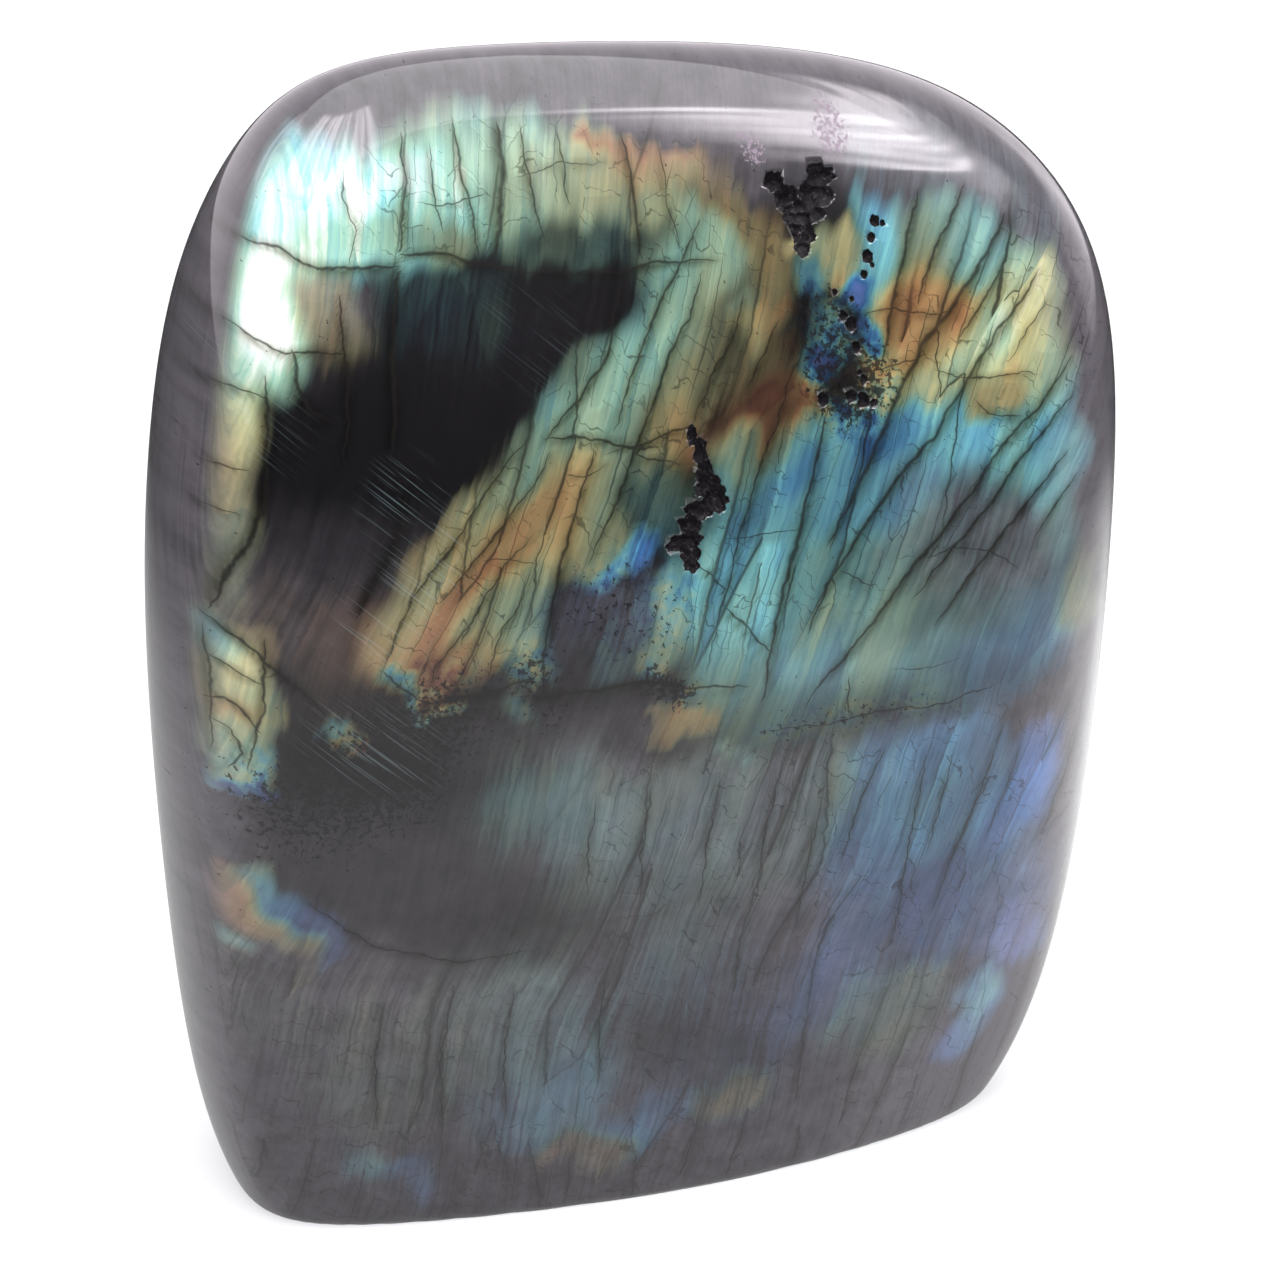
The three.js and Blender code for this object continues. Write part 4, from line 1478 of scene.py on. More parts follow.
@dataclass(frozen=True)
class SlatPattern:
    """Long slats along the grain, each with a crack off its middle that comes and goes."""

    spacing: float = 2.3
    length: float = 19.0
    width: float = 0.16
    share: float = 0.52
    seed: float = 71.0
    middle_from: float = 0.2
    middle_spread: float = 0.6
    opening_step: float = 5.3
    opening: float = 6.0
    core: float = 0.3
    fade_in: float = 0.25
    tone_step: float = 7.7
    tone_drift: float = 0.7

    def laid(self, bench: Bench, across: Socket, along: Socket) -> tuple[Socket, Socket]:
        """Lays the slats.

        Args:
            bench: The tree to build in.
            across: The distance across the grain.
            along: The distance along it.

        Returns:
            A slat's own random number, and how much of a crack each place is.
        """
        number = bench.math("ADD", bench.math("DIVIDE", across, self.spacing), self.seed)
        slat = bench.math("FLOOR", number)
        within = bench.math("SUBTRACT", number, slat)
        jitter = bench.place("ShaderNodeTexWhiteNoise", {"W": slat}, noise_dimensions="1D").outputs["Value"]
        middle = bench.math("MULTIPLY_ADD", jitter, self.middle_spread, self.middle_from)
        side = bench.product(bench.math("SUBTRACT", within, middle), self.spacing)
        far = bench.math("DIVIDE", along, self.length)
        swell = bench.noise(bench.stretched(slat, far, (self.opening_step, 1.0)), 1.0, 1.0, 0.5, flat=True)
        opened = bench.math("ADD", bench.math("SUBTRACT", swell, 1.0), self.share)
        opened = bench.math("MULTIPLY", opened, self.opening, clamp=True)
        width = bench.math("MULTIPLY_ADD", opened, self.width, THINNEST)
        core = bench.product(width, self.core)
        line = bench.ease(bench.math("ABSOLUTE", side), core, width, 1.0, 0.0)
        own = bench.math("SUBTRACT", slat, bench.math("LESS_THAN", side, 0.0))
        point = bench.stretched(own, far, (self.tone_step, self.tone_drift))
        tone = bench.remap(bench.noise(point, 1.0, 0.0, 0.5, flat=True), *NOISE_SPAN, 0.0, 1.0)
        return tone, bench.product(line, bench.ease(opened, 0.0, self.fade_in))


@dataclass(frozen=True)
class PlatePattern:
    """Irregular plates with cracks between some of them, and painted shade (dusk) beside the cracks."""

    wide: float
    long: float
    width: float
    share: float
    # How far the painted shade beside a crack reaches.
    dusk: float
    level: float
    seed: float
    unevenness: ClassVar[float] = 0.9
    pair_steps: ClassVar[float] = 20.0
    core: ClassVar[float] = 0.3
    fade_in: ClassVar[float] = 0.3

    @classmethod
    def group(cls) -> Group:
        """Builds the pattern's node group.

        Returns:
            The group. Tone is a plate's own random number, Tilt runs across a plate for painted
            shading, Line is the crack round it and Halo the painted shade (dusk) beside the crack.
        """
        sizes = numbers(Wide=5.0, Long=12.0, Width=0.3, Share=0.5, Dusk=1.5, Level=0.5, Seed=0.0)
        inputs = {**numbers(Across=0.0, Along=0.0), **sizes}
        outputs = dict.fromkeys(("Tone", "Tilt", "Line", "Halo"), FLOAT)
        group = Group("Plates", "ShaderNodeTree", inputs, outputs)
        bench = group.bench
        wide, long, share = group.given("Wide"), group.given("Long"), group.given("Share")
        right = bench.math("ADD", bench.math("DIVIDE", group.given("Across"), wide), group.given("Seed"))
        point = bench.join(right, bench.math("DIVIDE", group.given("Along"), long), 0.0)
        own, other = (cls.cell(bench, point, feature) for feature in ("F1", "F2"))
        squares = [bench.math("POWER", cell.outputs["Distance"], 2.0) for cell in (own, other)]
        gap = bench.vector("SUBTRACT", own.outputs["Position"], other.outputs["Position"])
        gap = bench.vector("DIVIDE", gap, bench.join(wide, long, 1.0))
        slope = bench.measure("LENGTH", gap)
        edge = bench.math("DIVIDE", bench.math("SUBTRACT", squares[1], squares[0]), slope)
        edge = bench.product(edge, 0.5)
        pair = bench.vector("ADD", own.outputs["Position"], other.outputs["Position"])
        pair = bench.vector("FLOOR", bench.scaled(pair, cls.pair_steps))
        random = bench.place("ShaderNodeTexWhiteNoise", {"Vector": pair}, noise_dimensions="2D")
        _, rise, _ = bench.split(gap)
        level = bench.math("DIVIDE", bench.math("ABSOLUTE", rise), slope)
        level = bench.math("SUBTRACT", 1.0, bench.product(level, group.given("Level")))
        opened = bench.math("SUBTRACT", bench.math("ADD", random.outputs["Value"], share), 1.0)
        opened = bench.math("MAXIMUM", bench.math("DIVIDE", opened, share), 0.0)
        opened = bench.product(opened, level)
        width = bench.math("MULTIPLY_ADD", opened, group.given("Width"), THINNEST)
        line = bench.ease(edge, bench.product(width, cls.core), width, 1.0, 0.0)
        # Painted shade that fades away from the crack.
        halo = bench.ease(edge, 0.0, group.given("Dusk"), 1.0, 0.0)
        tone, _, _ = bench.split(own.outputs["Color"])
        own_right, _, _ = bench.split(own.outputs["Position"])
        group.give("Tone", tone)
        group.give("Tilt", bench.math("SUBTRACT", right, own_right))
        group.give("Line", bench.product(line, bench.ease(opened, 0.0, cls.fade_in)))
        group.give("Halo", bench.product(halo, opened))
        return group

    @classmethod
    def cell(cls, bench: Bench, point: Socket, feature: str) -> Node:
        """Returns the Voronoi texture that finds the nearest plate, or the next one."""
        feeds = {"Vector": point, "Scale": 1.0, "Randomness": cls.unevenness}
        return bench.place("ShaderNodeTexVoronoi", feeds, voronoi_dimensions="2D", feature=feature)

    def placed(self, group: Group, bench: Bench, across: Socket, along: Socket) -> Node:
        """Places the group with these sizes.

        Args:
            group: The pattern's node group.
            bench: The tree to place it in.
            across: The distance across the grain.
            along: The distance along it.

        Returns:
            The group node.
        """
        sizes = {name.capitalize(): value for name, value in vars(self).items()}
        return group.placed(bench, {"Across": across, "Along": along, **sizes})


COARSE_PLATES = PlatePattern(wide=5.0, long=26.0, width=0.36, share=0.75, dusk=1.8, level=0.8, seed=0.0)
FINE_PLATES = PlatePattern(wide=2.4, long=4.2, width=0.11, share=0.60, dusk=0.8, level=0.0, seed=31.0)


@dataclass(frozen=True)
class LaidCrack:
    """How the listed cracks are drawn from their fields."""

    narrowing: float = 0.85
    core: float = 0.10
    near: Span = (0.4, 0.8)
    fade_in: Span = (0.02, 0.12)

    def group(self) -> Group:
        """Builds the node group.

        Returns:
            The group, whose Line is the crack.
        """
        inputs = numbers(Side=0.0, Away=9.0, Width=0.0, Wobble=0.0)
        group = Group("Laid crack", "ShaderNodeTree", inputs, {"Line": FLOAT})
        bench = group.bench
        side = bench.math("ADD", group.given("Side"), group.given("Wobble"))
        width = bench.product(group.given("Width"), self.narrowing)
        width = bench.math("MAXIMUM", width, THINNEST)
        core = bench.product(width, self.core)
        line = bench.ease(bench.math("ABSOLUTE", side), core, width, 1.0, 0.0)
        near = bench.ease(bench.math("SUBTRACT", group.given("Away"), width), *self.near, 1.0, 0.0)
        opened = bench.ease(group.given("Width"), *self.fade_in)
        group.give("Line", bench.product(line, near, opened))
        return group


# --- Finishes ---


def plain_colour(red: int, green: int, blue: int) -> Light:
    """Turns an everyday colour into the light that shaders work in.

    Args:
        red: Its red, 0 to 255.
        green: Its green, 0 to 255.
        blue: Its blue, 0 to 255.

    Returns:
        The light's red, green, blue and alpha.
    """
    parts = [value / 255 for value in (red, green, blue)]
    linear = [p / 12.92 if p <= 0.04045 else ((p + 0.055) / 1.055) ** 2.4 for p in parts]
    return (*linear, 1.0)


# The order of the flash: (place, red, green, blue).
FLASH_ORDER: tuple[tuple[float, int, int, int], ...] = (
    (0.00, 120, 120, 190),
    (0.14, 100, 128, 200),
    (0.28, 55, 112, 172),
    (0.40, 90, 160, 200),
    (0.50, 118, 188, 195),
    (0.60, 140, 182, 162),
    (0.70, 165, 178, 140),
    (0.78, 184, 176, 126),
    (0.86, 182, 154, 104),
    (0.93, 168, 124, 82),
    (1.00, 126, 80, 54),
)


def fill_ramp(ramp: bpy.types.ColorRamp, order: Sequence[tuple[float, int, int, int]]) -> None:
    """Sets a ramp's stops.

    Args:
        ramp: The ramp to fill.
        order: The stops, each a place and an everyday colour.
    """
    while len(ramp.elements) > 1:
        ramp.elements.remove(ramp.elements[-1])
    ramp.elements[0].position = order[0][0]
    ramp.elements[0].color = plain_colour(*order[0][1:])
    for place, red, green, blue in order[1:]:
        ramp.elements.new(place).color = plain_colour(red, green, blue)


def start_material(name: str) -> tuple[bpy.types.Material, Bench]:
    """Makes a material with an empty tree.

    Args:
        name: The material's name.

    Returns:
        The material and the bench of its tree.
    """
    made = bpy.data.materials.new(name)
    made.use_nodes = True
    made.node_tree.nodes.clear()
    return made, Bench(made.node_tree)


@dataclass(frozen=True)
class Unrest:
    """One noise texture: its scale, how many finer layers it has and how strong they are."""

    scale: float
    detail: float
    rough: float

    def at(self, bench: Bench, point: Socket) -> Socket:
        """Reads the noise in the plane of a point's x and y."""
        return bench.noise(point, self.scale, self.detail, self.rough, flat=True)


@dataclass(frozen=True)
class Patterns:
    """What the polish's methods share: the bench, the place in the front's plane and patterns."""

    bench: Bench
    flat: Socket
    shiver: Socket
    silk: Socket
    hair: Socket
    motley: Socket
    coarse: Node
    fine: Node
    narrow: Socket
    slits: Socket


@dataclass(frozen=True)
class PolishFinish:
    """The polished surface: clear gloss over dark feldspar that flashes along its grain.

    Colours of the stone are everyday ones, 0 to 255 each. A pair named span says where a change
    starts and ends, and one named swing gives a factor's values at the two ends of a pattern.
    """

    gloss: float = 0.05
    mirror: float = 0.2
    roughness: float = 0.42
    roughness_swing: float = 0.08
    frost_roughness: float = 0.3
    dark: Everyday = (12, 11, 14)
    # Milky grey of the stone, also used for the painted reflection on its rims and top.
    milk: Everyday = (90, 86, 92)
    crack: Everyday = (22, 20, 18)
    grit: Everyday = (22, 20, 22)
    needle: Everyday = (150, 172, 176)
    frost: Everyday = (138, 124, 138)
    # Painted highlight: the white that a flash burns out to past a strength of 1.
    burnt: Light = (0.97, 1.0, 0.98, 1.0)
    burnt_share: float = 0.92
    # Painted shade beside the cracks, tinted brown like the stain along them.
    dusk: float = 0.75
    dusk_tint: tuple[float, float, float] = (0.22, 0.20, 0.14)

    front_span: Span = (0.15, 0.5)
    shiver: Unrest = Unrest(0.35, 2.0, 0.6)
    shiver_across: float = 0.6
    shiver_along: float = 3.0
    silk: Unrest = Unrest(1.0, 3.0, 0.65)
    silk_stretch: Span = (1.6, 0.07)
    hair: Unrest = Unrest(1.0, 2.0, 0.5)
    hair_lean: float = 0.35
    hair_stretch: Span = (0.11, 0.16)
    hair_bend: float = 3.2
    hair_density: float = 0.40
    motley: Unrest = Unrest(0.45, 3.0, 0.6)
    mottle: Unrest = Unrest(0.3, 3.0, 0.65)
    mottle_span: Span = (0.3, 0.7)
    milk_mottle_swing: Span = (0.78, 1.18)
    milk_silk_swing: Span = (0.80, 1.16)

    hue_coarse: float = 0.08
    hue_narrow: float = 0.05
    hue_silk: float = 0.10
    hue_cloud: float = 0.036
    hue_motley: float = 1.5
    edge_coarse: float = 0.09
    edge_narrow: float = 0.06
    edge_silk: float = 0.22
    edge_span: Span = (-0.05, 0.14)
    coarse_swing: Span = (0.81, 1.17)
    narrow_swing: Span = (0.88, 1.11)
    silk_swing: Span = (0.78, 1.18)
    tilt_swing: Span = (1.12, 0.88)
    tilt_reach: float = 0.6
    fine_middle: float = 0.55
    fine_swing: float = 0.14
    motley_swing: float = 2.2

    narrow_line: float = 0.65
    coarse_line: float = 0.8
    fine_line: float = 0.6
    hair_line: float = 0.6
    laid_line: float = 0.78
    cracked_span: Span = (0.2, 0.9)
    cracked_least: float = 0.6
    fine_span: Span = (0.2, 0.8)
    fickle_span: Span = (-0.6, 0.4)
    fickle_least: float = 0.25
    hair_width: Span = (0.012, 0.045)
    hair_plates: Span = (0.35, 0.7)
    hair_span: Span = (0.15, 0.8)

    specks: Unrest = Unrest(1.3, 2.0, 0.7)
    grit_reach: float = 0.34
    grit_span: Span = (0.73, 0.82)
    grit_share: float = 0.85
    needles: Unrest = Unrest(1.0, 1.0, 0.5)
    needle_turn: float = -48.0
    needle_stretch: Span = (4.2, 0.09)
    needle_span: Span = (0.60, 0.70)
    needle_share: float = 0.15
    stipple: Unrest = Unrest(1.9, 3.0, 0.75)
    frost_reach: float = 0.16
    frost_span: Span = (0.60, 0.70)
    frost_start: Span = (0.1, 0.5)
    frost_share: float = 0.9
    dimples: Unrest = Unrest(0.9, 2.0, 0.6)
    dimple_depth: float = 0.25
    dimple_strength: float = 0.5
    plain_dimples: float = 0.2
    grit_dimples: float = 0.8

    def material(self) -> bpy.types.Material:
        """Builds the material.

        Returns:
            The new material.
        """
        made, bench = start_material("labradorite_polish")
        place = bench.scaled(bench.place("ShaderNodeTexCoord").outputs["Object"], 1.0 / MM)
        patterns = self.patterns(bench, place)
        lines = self.cracks(patterns)
        # Painted shade beside the cracks, from the plates and the laid cracks, multiplied in with a brown
        # tint.
        halo = bench.product(patterns.coarse.outputs["Halo"], bench.field(Layer.CRACKED), self.dusk)
        dusk = bench.math("MAXIMUM", halo, bench.field(Layer.SHADE))
        strength = self.strength(patterns)
        # The flash, light thrown back by layers inside the stone, is painted into the base colour.
        ramp = bench.place("ShaderNodeValToRGB", {0: self.hue(patterns)})
        fill_ramp(ramp.color_ramp, FLASH_ORDER)
        full = bench.math("MULTIPLY", strength, 1.0, clamp=True)
        flash = bench.blend(full, (0, 0, 0, 1), ramp.outputs["Color"])
        colour = bench.blend(1.0, self.body(patterns), flash, "ADD")
        # Past a strength of 1 the flash is painted burnt out to white, as a highlight.
        burning_out = bench.remap(strength, 1.0, 2.0, 0.0, self.burnt_share)
        colour = bench.blend(burning_out, colour, self.burnt)
        colour = bench.blend(dusk, colour, (*self.dusk_tint, 1.0), "MULTIPLY")
        colour = bench.blend(lines, colour, plain_colour(*self.crack))
        frosted = self.frosted(patterns)
        colour = self.flecks(patterns, frosted, colour)

        smooth, rough = self.roughness - self.roughness_swing, self.roughness + self.roughness_swing
        rough = bench.remap(patterns.silk, *NOISE_SPAN, smooth, rough)
        rough = bench.math("MULTIPLY_ADD", frosted, self.frost_roughness, rough)
        shader = bench.place("ShaderNodeBsdfPrincipled", {"Base Color": colour, "Roughness": rough})
        bench.feed(shader.inputs["Coat Weight"], bench.math("SUBTRACT", 1.0, frosted))
        bench.feed(shader.inputs["Normal"], self.unevenness(patterns))
        shader.inputs["Coat Roughness"].default_value = self.gloss
        shader.inputs["Specular IOR Level"].default_value = self.mirror
        bench.place("ShaderNodeOutputMaterial", {"Surface": shader.outputs["BSDF"]})
        return made

    def patterns(self, bench: Bench, place: Socket) -> Patterns:
        """Places the noises and the patterns along the grain.

        Args:
            bench: The material's tree.
            place: The place in millimetres.

        Returns:
            The patterns.
        """
        x, _, z = bench.split(place)
        flat = bench.join(x, z, 0.0)
        shiver = bench.centred(self.shiver.at(bench, flat))
        across = bench.math("MULTIPLY_ADD", shiver, self.shiver_across, bench.field(Layer.ACROSS))
        along = bench.math("MULTIPLY_ADD", shiver, self.shiver_along, bench.field(Layer.ALONG))
        leaning = bench.math("MULTIPLY_ADD", across, self.hair_lean, along)
        group = PlatePattern.group()
        bend = self.hair.at(bench, bench.stretched(across, leaning, self.hair_stretch))
        bend = bench.product(bend, self.hair_bend)
        hair = bench.math("MULTIPLY_ADD", leaning, self.hair_density, bend)
        motley = bench.centred(self.motley.at(bench, flat))
        narrow, slits = SlatPattern().laid(bench, across, along)
        return Patterns(
            bench=bench,
            flat=flat,
            shiver=shiver,
            silk=self.silk.at(bench, bench.stretched(across, along, self.silk_stretch)),
            hair=hair,
            motley=bench.product(motley, bench.field(Layer.GRIT)),
            coarse=COARSE_PLATES.placed(group, bench, across, along),
            fine=FINE_PLATES.placed(group, bench, across, leaning),
            narrow=narrow,
            slits=slits,
        )

    def body(self, patterns: Patterns) -> Socket:
        """Works out the stone's colour without its flash: dark, milky, or painted sheen on rims and top.

        Args:
            patterns: The shared patterns.

        Returns:
            The colour.
        """
        bench = patterns.bench
        mottle = bench.remap(self.mottle.at(bench, patterns.flat), *self.mottle_span, *self.milk_mottle_swing)
        silky = bench.remap(patterns.silk, *NOISE_SPAN, *self.milk_silk_swing)
        milk = bench.product(bench.field(Layer.MILK), mottle)
        milk = bench.math("MULTIPLY", milk, silky, clamp=True)
        return bench.blend(milk, plain_colour(*self.dark), plain_colour(*self.milk))

    def hue(self, patterns: Patterns) -> Socket:
        """Works out where in its order the flash is.

        Args:
            patterns: The shared patterns.

        Returns:
            The place in the order.
        """
        bench = patterns.bench
        hue = bench.field(Layer.HUE)
        for value, amount in (
            (bench.centred(patterns.coarse.outputs["Tone"]), self.hue_coarse),
            (bench.centred(patterns.narrow), self.hue_narrow),
            (bench.centred(patterns.silk), self.hue_silk),
            (bench.field(Layer.CLOUD), self.hue_cloud),
            (patterns.motley, self.hue_motley),
        ):
            hue = bench.math("MULTIPLY_ADD", value, amount, hue)
        return hue

    def strength(self, patterns: Patterns) -> Socket:
        """Works out how strongly the flash shows.

        Args:
            patterns: The shared patterns.

        Returns:
            The strength: past 1 it is painted burnt out to white.
        """
        bench, coarse = patterns.bench, patterns.coarse.outputs["Tone"]
        glow = bench.field(Layer.GLOW)
        ragged = glow
        for value, amount in (
            (coarse, self.edge_coarse),
            (patterns.narrow, self.edge_narrow),
            (patterns.silk, self.edge_silk),
        ):
            ragged = bench.math("MULTIPLY_ADD", bench.centred(value), amount, ragged)
        grain = bench.math("SUBTRACT", patterns.fine.outputs["Tone"], self.fine_middle)
        grain = bench.math("MULTIPLY_ADD", grain, self.fine_swing, 1.0)
        grain = bench.math("MULTIPLY_ADD", patterns.motley, self.motley_swing, grain)
        # Each coarse plate is painted lighter on one side and darker on the other, as shading from its tilt.
        tilt = patterns.coarse.outputs["Tilt"]
        return bench.product(
            glow,
            bench.ease(ragged, *self.edge_span),
            bench.remap(coarse, 0.0, 1.0, *self.coarse_swing),
            bench.remap(patterns.narrow, 0.0, 1.0, *self.narrow_swing),
            grain,
            bench.remap(patterns.silk, *NOISE_SPAN, *self.silk_swing),
            bench.remap(tilt, -self.tilt_reach, self.tilt_reach, *self.tilt_swing),
        )

    def cracks(self, patterns: Patterns) -> Socket:
        """Draws every crack: those between plates, the hairlines and the listed ones.

        Args:
            patterns: The shared patterns.

        Returns:
            How much of a crack each place is.
        """
        bench = patterns.bench
        cracked = bench.field(Layer.CRACKED)
        narrow = bench.product(patterns.slits, self.narrow_line)
        coarse = bench.product(patterns.coarse.outputs["Line"], self.coarse_line)
        often = bench.ease(cracked, *self.cracked_span, self.cracked_least, 1.0)
        lines = bench.product(bench.math("MAXIMUM", narrow, coarse), cracked, often)
        fickle = bench.ease(bench.field(Layer.FICKLE), *self.fickle_span, self.fickle_least, 1.0)
        often = bench.ease(cracked, *self.fine_span)
        fine = bench.product(patterns.fine.outputs["Line"], fickle, self.fine_line, often)
        lines = bench.math("MAXIMUM", lines, fine)
        hairs = bench.ease(bench.math("PINGPONG", patterns.hair, 0.5), *self.hair_width, 1.0, 0.0)
        some = bench.ease(patterns.fine.outputs["Tone"], *self.hair_plates)
        often = bench.ease(cracked, *self.hair_span, 0.0, self.hair_line)
        lines = bench.math("MAXIMUM", lines, bench.product(hairs, some, often))
        laid = LaidCrack().group()
        for side, away, width in CRACK_LAYERS:
            feeds = {"Side": bench.field(side), "Away": bench.field(away), "Width": bench.field(width)}
            crack = laid.placed(bench, {**feeds, "Wobble": patterns.shiver})
            crack = bench.product(crack.outputs["Line"], self.laid_line)
            lines = bench.math("MAXIMUM", lines, crack)
        return bench.product(lines, bench.ease(bench.field(Layer.FACE), *self.front_span))

    def flecks(self, patterns: Patterns, frosted: Socket, colour: Socket) -> Socket:
        """Adds the grit, the needles and the frosty patches.

        Args:
            patterns: The shared patterns.
            frosted: How dull each place is.
            colour: The colour below.

        Returns:
            The colour with the flecks on it.
        """
        bench, flat = patterns.bench, patterns.flat
        specks = self.specks.at(bench, flat)
        grit = bench.math("MULTIPLY_ADD", bench.field(Layer.GRIT), self.grit_reach, specks)
        grit = bench.product(bench.ease(grit, *self.grit_span), self.grit_share)
        colour = bench.blend(grit, colour, plain_colour(*self.grit))
        turn = math.radians(self.needle_turn)
        feeds = {"Vector": flat, "Angle": turn}
        leaning = bench.place("ShaderNodeVectorRotate", feeds, rotation_type="Z_AXIS")
        thin = bench.vector("MULTIPLY", leaning.outputs[0], (*self.needle_stretch, 0.0))
        needle = bench.ease(self.needles.at(bench, thin), *self.needle_span)
        needle = bench.math("MULTIPLY", needle, bench.field(Layer.NEEDLES), clamp=True)
        needle = bench.product(needle, self.needle_share)
        colour = bench.blend(needle, colour, plain_colour(*self.needle))
        return bench.blend(frosted, colour, plain_colour(*self.frost))

    def unevenness(self, patterns: Patterns) -> Socket:
        """Works out the slight unevenness that grinding left under the gloss.

        Args:
            patterns: The shared patterns.

        Returns:
            The bumped normal.
        """
        bench = patterns.bench
        dimples = self.dimples.at(bench, patterns.flat)
        pitted = bench.math("MULTIPLY_ADD", bench.field(Layer.GRIT), self.grit_dimples, self.plain_dimples)
        feeds = {"Height": bench.product(dimples, pitted), "Strength": self.dimple_strength}
        return bench.place("ShaderNodeBump", {**feeds, "Distance": self.dimple_depth * MM}).outputs["Normal"]

    def frosted(self, patterns: Patterns) -> Socket:
        """Finds the dull specks where the polish didn't take.

        Args:
            patterns: The shared patterns.

        Returns:
            How dull each place is.
        """
        bench = patterns.bench
        frost, stipple = bench.field(Layer.FROST), self.stipple.at(bench, patterns.flat)
        dull = bench.math("MULTIPLY_ADD", frost, self.frost_reach, stipple)
        dull = bench.ease(dull, *self.frost_span)
        return bench.product(dull, bench.ease(frost, *self.frost_start), self.frost_share)


@dataclass(frozen=True)
class CrustFinish:
    """The black, crumbled rock inside the pits, with a painted glint here and there."""

    rock: Everyday = (20, 17, 21)
    # Painted glint: a pale colour that stands for light caught by the broken faces.
    glint: Everyday = (138, 128, 136)
    bend: float = 0.9
    crumb_scale: float = 1.5
    height_scale: float = 1.6
    height_detail: float = 4.0
    height_rough: float = 0.7
    ridge_width: float = 0.06
    glint_span: Span = (0.54, 0.66)
    crumb_height: float = 0.35
    roughness_span: Span = (0.3, 0.7)
    roughness: Span = (0.62, 0.38)
    mirror: float = 0.35

    def material(self) -> bpy.types.Material:
        """Builds the material.

        Returns:
            The new material.
        """
        made, bench = start_material("labradorite_crust")
        place = bench.scaled(bench.place("ShaderNodeTexCoord").outputs["Object"], 1.0 / MM)
        bend = bench.place("ShaderNodeTexNoise", {"Vector": place}).outputs["Color"]
        bent = bench.vector("ADD", place, bench.scaled(bend, self.bend))
        feeds = {"Vector": bent, "Scale": self.crumb_scale}
        crumbs = bench.place("ShaderNodeTexVoronoi", feeds)
        ridges = bench.place("ShaderNodeTexVoronoi", feeds, feature="DISTANCE_TO_EDGE")
        _, shade, _ = bench.split(crumbs.outputs["Color"])
        height = bench.noise(place, self.height_scale, self.height_detail, self.height_rough)
        ridge = bench.ease(ridges.outputs["Distance"], 0.0, self.ridge_width, 1.0, 0.0)
        # Painted glints: pale specks on the crumbs' ridges stand for light caught by their broken faces.
        painted_glints = bench.product(ridge, bench.ease(height, *self.glint_span))
        colour = bench.blend(painted_glints, plain_colour(*self.rock), plain_colour(*self.glint))
        feeds = {"Height": bench.math("ADD", height, shade), "Distance": self.crumb_height * MM}
        bump = bench.place("ShaderNodeBump", {**feeds, "Strength": 1.0})
        shader = bench.place("ShaderNodeBsdfPrincipled", {"Base Color": colour, "Normal": bump.outputs[0]})
        rough = bench.remap(height, *self.roughness_span, *self.roughness)
        bench.feed(shader.inputs["Roughness"], rough)
        shader.inputs["Specular IOR Level"].default_value = self.mirror
        bench.place("ShaderNodeOutputMaterial", {"Surface": shader.outputs["BSDF"]})
        return made


# --- Studio ---


def direction(azimuth: float, elevation: float) -> Vector:
    """Finds the unit vector of a direction.

    Args:
        azimuth: Its azimuth in degrees: 0 is the front, 90 the right.
        elevation: Its height above level, in degrees.

    Returns:
        The unit vector.
    """
    turn, rise = math.radians(azimuth), math.radians(elevation)
    flat = math.cos(rise)
    return Vector((math.sin(turn) * flat, -math.cos(turn) * flat, math.sin(rise)))


@dataclass(frozen=True)
class Pane:
    """A bright part of the room that only polished things show.

    Azimuths, elevations and edges are in degrees. Ribs are bright bars in it, upright or level.
    """

    name: str
    azimuths: Span
    elevations: Span
    edges: Span
    brightness: float
    ribs: float = 0.0
    upright: bool = False
    rib_waver: float = 0.02
    rib_span: Span = (0.35, 0.62)
    rib_swing: Span = (0.35, 1.25)

    def light(self, bench: Bench, azimuth: Socket, elevation: Socket) -> Socket:
        """Works out the pane's light as nodes.

        Args:
            bench: The world's tree.
            azimuth: The looked-at azimuth, in degrees.
            elevation: The looked-at elevation, in degrees.

        Returns:
            The brightness there.
        """
        total: Fed = self.brightness
        for angle, (low, high), edge in (
            (azimuth, self.azimuths, self.edges[0]),
            (elevation, self.elevations, self.edges[1]),
        ):
            total = bench.product(total, bench.ease(angle, low, low + edge))
            total = bench.product(total, bench.ease(angle, high - edge, high, 1.0, 0.0))
        if self.ribs > 0:
            along, across = (elevation, azimuth) if self.upright else (azimuth, elevation)
            place = bench.stretched(along, across, (self.rib_waver, self.ribs))
            bars = bench.noise(place, 1.0, 1.0, 0.5, flat=True)
            total = bench.product(total, bench.ease(bars, *self.rib_span, *self.rib_swing))
        return total


PANES: tuple[Pane, ...] = (
    Pane("window", (31, 76), (42.8, 56.5), (15, 1.2), 13.5, 0.45),
    Pane("window_end", (56, 114), (45, 60), (18, 4), 7.0, 0.30),
    Pane("window_side", (45, 88), (34, 56), (16, 6), 3.0),
    Pane("left_window", (-80, 14), (50, 77), (8, 3), 7.0, 0.25, True),
    Pane("left_side", (-130, -80), (24, 66), (10, 6), 3.0, 0.25, True),
    Pane("right_wall", (70, 135), (-4, 26), (15, 8), 1.5),
)


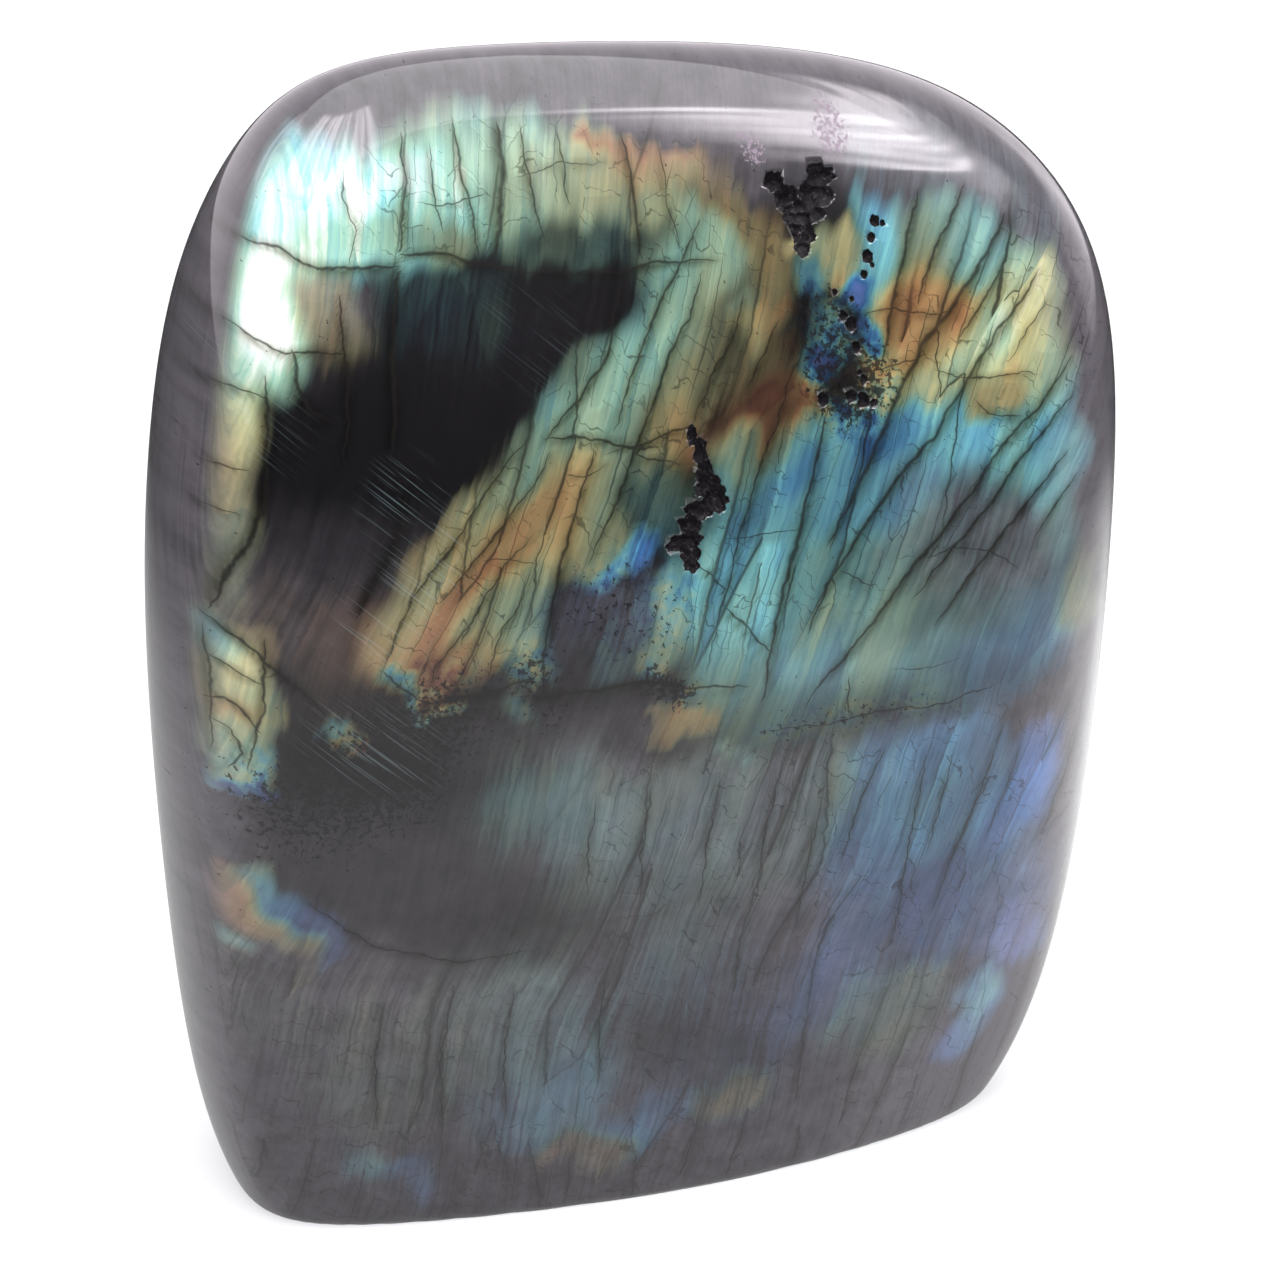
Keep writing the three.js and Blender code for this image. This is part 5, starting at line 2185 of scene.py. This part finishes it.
@dataclass
class Studio:
    """The pale floor, the soft lights and the camera round the stone."""

    camera_azimuth: float = -20.0
    camera_elevation: float = 22.0
    camera_distance: float = 480.0
    camera_aim: tuple[float, float, float] = (1.3, 0.3, 65.5)
    view_scale: float = 8.4
    sensor: float = 36.0
    image_width: float = 1280.0
    floor_half: float = 6.0
    sheet_reach: Span = (0.16, 0.34)
    sheet_shine: Span = (0.42, 0.03)
    side_sheet: tuple[float, float, float] = (0.20, 0.0, 0.0)
    side_shine: float = 1.0
    side_reach: Span = (0.04, 0.16)
    paper: Light = (0.9, 0.9, 0.92, 1.0)
    room_tint: Light = (0.98, 0.97, 1.0, 1.0)
    pane_tint: Light = (1.0, 0.94, 0.99, 1.0)
    back_from: float = 0.8
    front_room: float = 0.03
    back_room: float = 0.9
    back_shine: float = 1.5
    ceiling_from: Span = (20.0, 84.0)
    ceiling_aim: tuple[float, float, float] = (0.0, 0.0, 0.1)
    ceiling_distance: float = 0.80
    ceiling_size: Span = (0.90, 0.80)
    ceiling_brightness: float = 2.8
    fill_from: Span = (-12.0, 42.0)
    fill_power: float = 3.4
    fill_spread: float = 75.0

    def floor(self) -> bpy.types.Object:
        """Lays the floor.

        Polished things see only the sheet of paper near the stone as pale.

        Returns:
            The floor's object.
        """
        half = self.floor_half
        corners = [(-half, -half, 0), (half, -half, 0), (half, half, 0), (-half, half, 0)]
        mesh = bpy.data.meshes.new("floor")
        mesh.from_pydata(corners, [], [(0, 1, 2, 3)])
        floor = bpy.data.objects.new("floor", mesh)
        bpy.context.scene.collection.objects.link(floor)
        made, bench = start_material("pale_floor")
        place = bench.place("ShaderNodeTexCoord").outputs["Object"]
        away = bench.measure("LENGTH", place)
        near, far = self.sheet_reach
        shine = bench.ease(away, near, far, *self.sheet_shine)
        aside = bench.measure("DISTANCE", place, self.side_sheet)
        shine = bench.math("ADD", shine, bench.ease(aside, *self.side_reach, self.side_shine, 0.0))
        mirrored = bench.place("ShaderNodeLightPath").outputs["Is Glossy Ray"]
        shade = bench.blend(mirrored, self.paper, shine)
        shader = bench.place("ShaderNodeBsdfDiffuse", {"Color": shade})
        bench.place("ShaderNodeOutputMaterial", {"Surface": shader.outputs["BSDF"]})
        mesh.materials.append(made)
        return floor

    def room(self) -> None:
        """Sets the room's own light: dark in front of the stone, pale behind it."""
        scene = bpy.context.scene
        scene.view_settings.view_transform = "Standard"
        world = bpy.data.worlds.new("room")
        scene.world = world
        world.use_nodes = True
        world.node_tree.nodes.clear()
        bench = Bench(world.node_tree)
        right, back, up = bench.split(bench.place("ShaderNodeTexCoord").outputs["Generated"])
        azimuth = bench.math("DEGREES", bench.math("ARCTAN2", right, bench.product(back, -1.0)))
        elevation = bench.math("DEGREES", bench.math("ARCSINE", up))
        panes: Fed = 0.0
        for pane in PANES:
            panes = bench.math("ADD", panes, pane.light(bench, azimuth, elevation))
        path = bench.place("ShaderNodeLightPath")
        mirrored = path.outputs["Is Glossy Ray"]
        light = bench.ease(back, 0.0, self.back_from, self.front_room, self.back_room)
        seen = bench.product(path.outputs["Is Camera Ray"], self.back_room)
        seen = bench.math("MAXIMUM", light, seen)
        dull = bench.place("ShaderNodeBackground", {"Color": self.room_tint, "Strength": seen})
        panes = bench.math("MULTIPLY_ADD", light, self.back_shine, panes)
        clear = bench.place("ShaderNodeBackground", {"Color": self.pane_tint, "Strength": panes})
        shader = bench.place("ShaderNodeMixShader", {0: mirrored, 1: dull.outputs[0], 2: clear.outputs[0]})
        bench.place("ShaderNodeOutputWorld", {"Surface": shader.outputs[0]})

    def ceiling(self) -> bpy.types.Object:
        """Hangs the soft lamp above the stone.

        Returns:
            The lamp's object.
        """
        light = bpy.data.lights.new("ceiling", "AREA")
        light.shape = "RECTANGLE"
        light.size, light.size_y = self.ceiling_size
        light.energy = self.ceiling_brightness * math.pi * light.size * light.size_y
        lamp = bpy.data.objects.new("ceiling", light)
        bpy.context.scene.collection.objects.link(lamp)
        out = direction(*self.ceiling_from)
        lamp.location = Vector(self.ceiling_aim) + out * self.ceiling_distance
        lamp.rotation_euler = out.to_track_quat("Z", "Y").to_euler()
        lamp.visible_camera = False
        return lamp

    def fill(self) -> bpy.types.Object:
        """Adds the broad light that the walls throw back, which nothing mirrors.

        Returns:
            The light's object.
        """
        light = bpy.data.lights.new("wall_bounce", "SUN")
        light.energy = self.fill_power
        light.angle = math.radians(self.fill_spread)
        lamp = bpy.data.objects.new("wall_bounce", light)
        bpy.context.scene.collection.objects.link(lamp)
        lamp.rotation_euler = direction(*self.fill_from).to_track_quat("Z", "Y").to_euler()
        lamp.visible_glossy = False
        return lamp

    def camera(self) -> bpy.types.Object:
        """Places the camera and makes it the scene's own.

        Returns:
            The camera's object.
        """
        lens = bpy.data.cameras.new("camera")
        lens.sensor_width = self.sensor
        lens.lens = self.view_scale * self.camera_distance / self.image_width * self.sensor
        camera = bpy.data.objects.new("camera", lens)
        bpy.context.scene.collection.objects.link(camera)
        out = direction(self.camera_azimuth, self.camera_elevation)
        camera.location = (Vector(self.camera_aim) + out * self.camera_distance) * MM
        camera.rotation_euler = out.to_track_quat("Z", "Y").to_euler()
        bpy.context.scene.camera = camera
        return camera

    def build(self) -> None:
        """Sets up the whole studio."""
        self.camera()
        self.floor()
        self.room()
        self.fill()
        self.ceiling()


def main() -> None:
    """Builds the stone around the frame, dresses it and lights it."""
    logging.basicConfig(level=logging.INFO, format="%(name)s: %(message)s")
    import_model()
    Studio().build()
    stone = Stone().build(PolishFinish().material(), CrustFinish().material())
    stone.visible_diffuse = False
    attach(stone, "root")
    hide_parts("stone")
    LOG.info("stone: %d faces", len(stone.data.polygons))


if __name__ == "__main__":
    main()
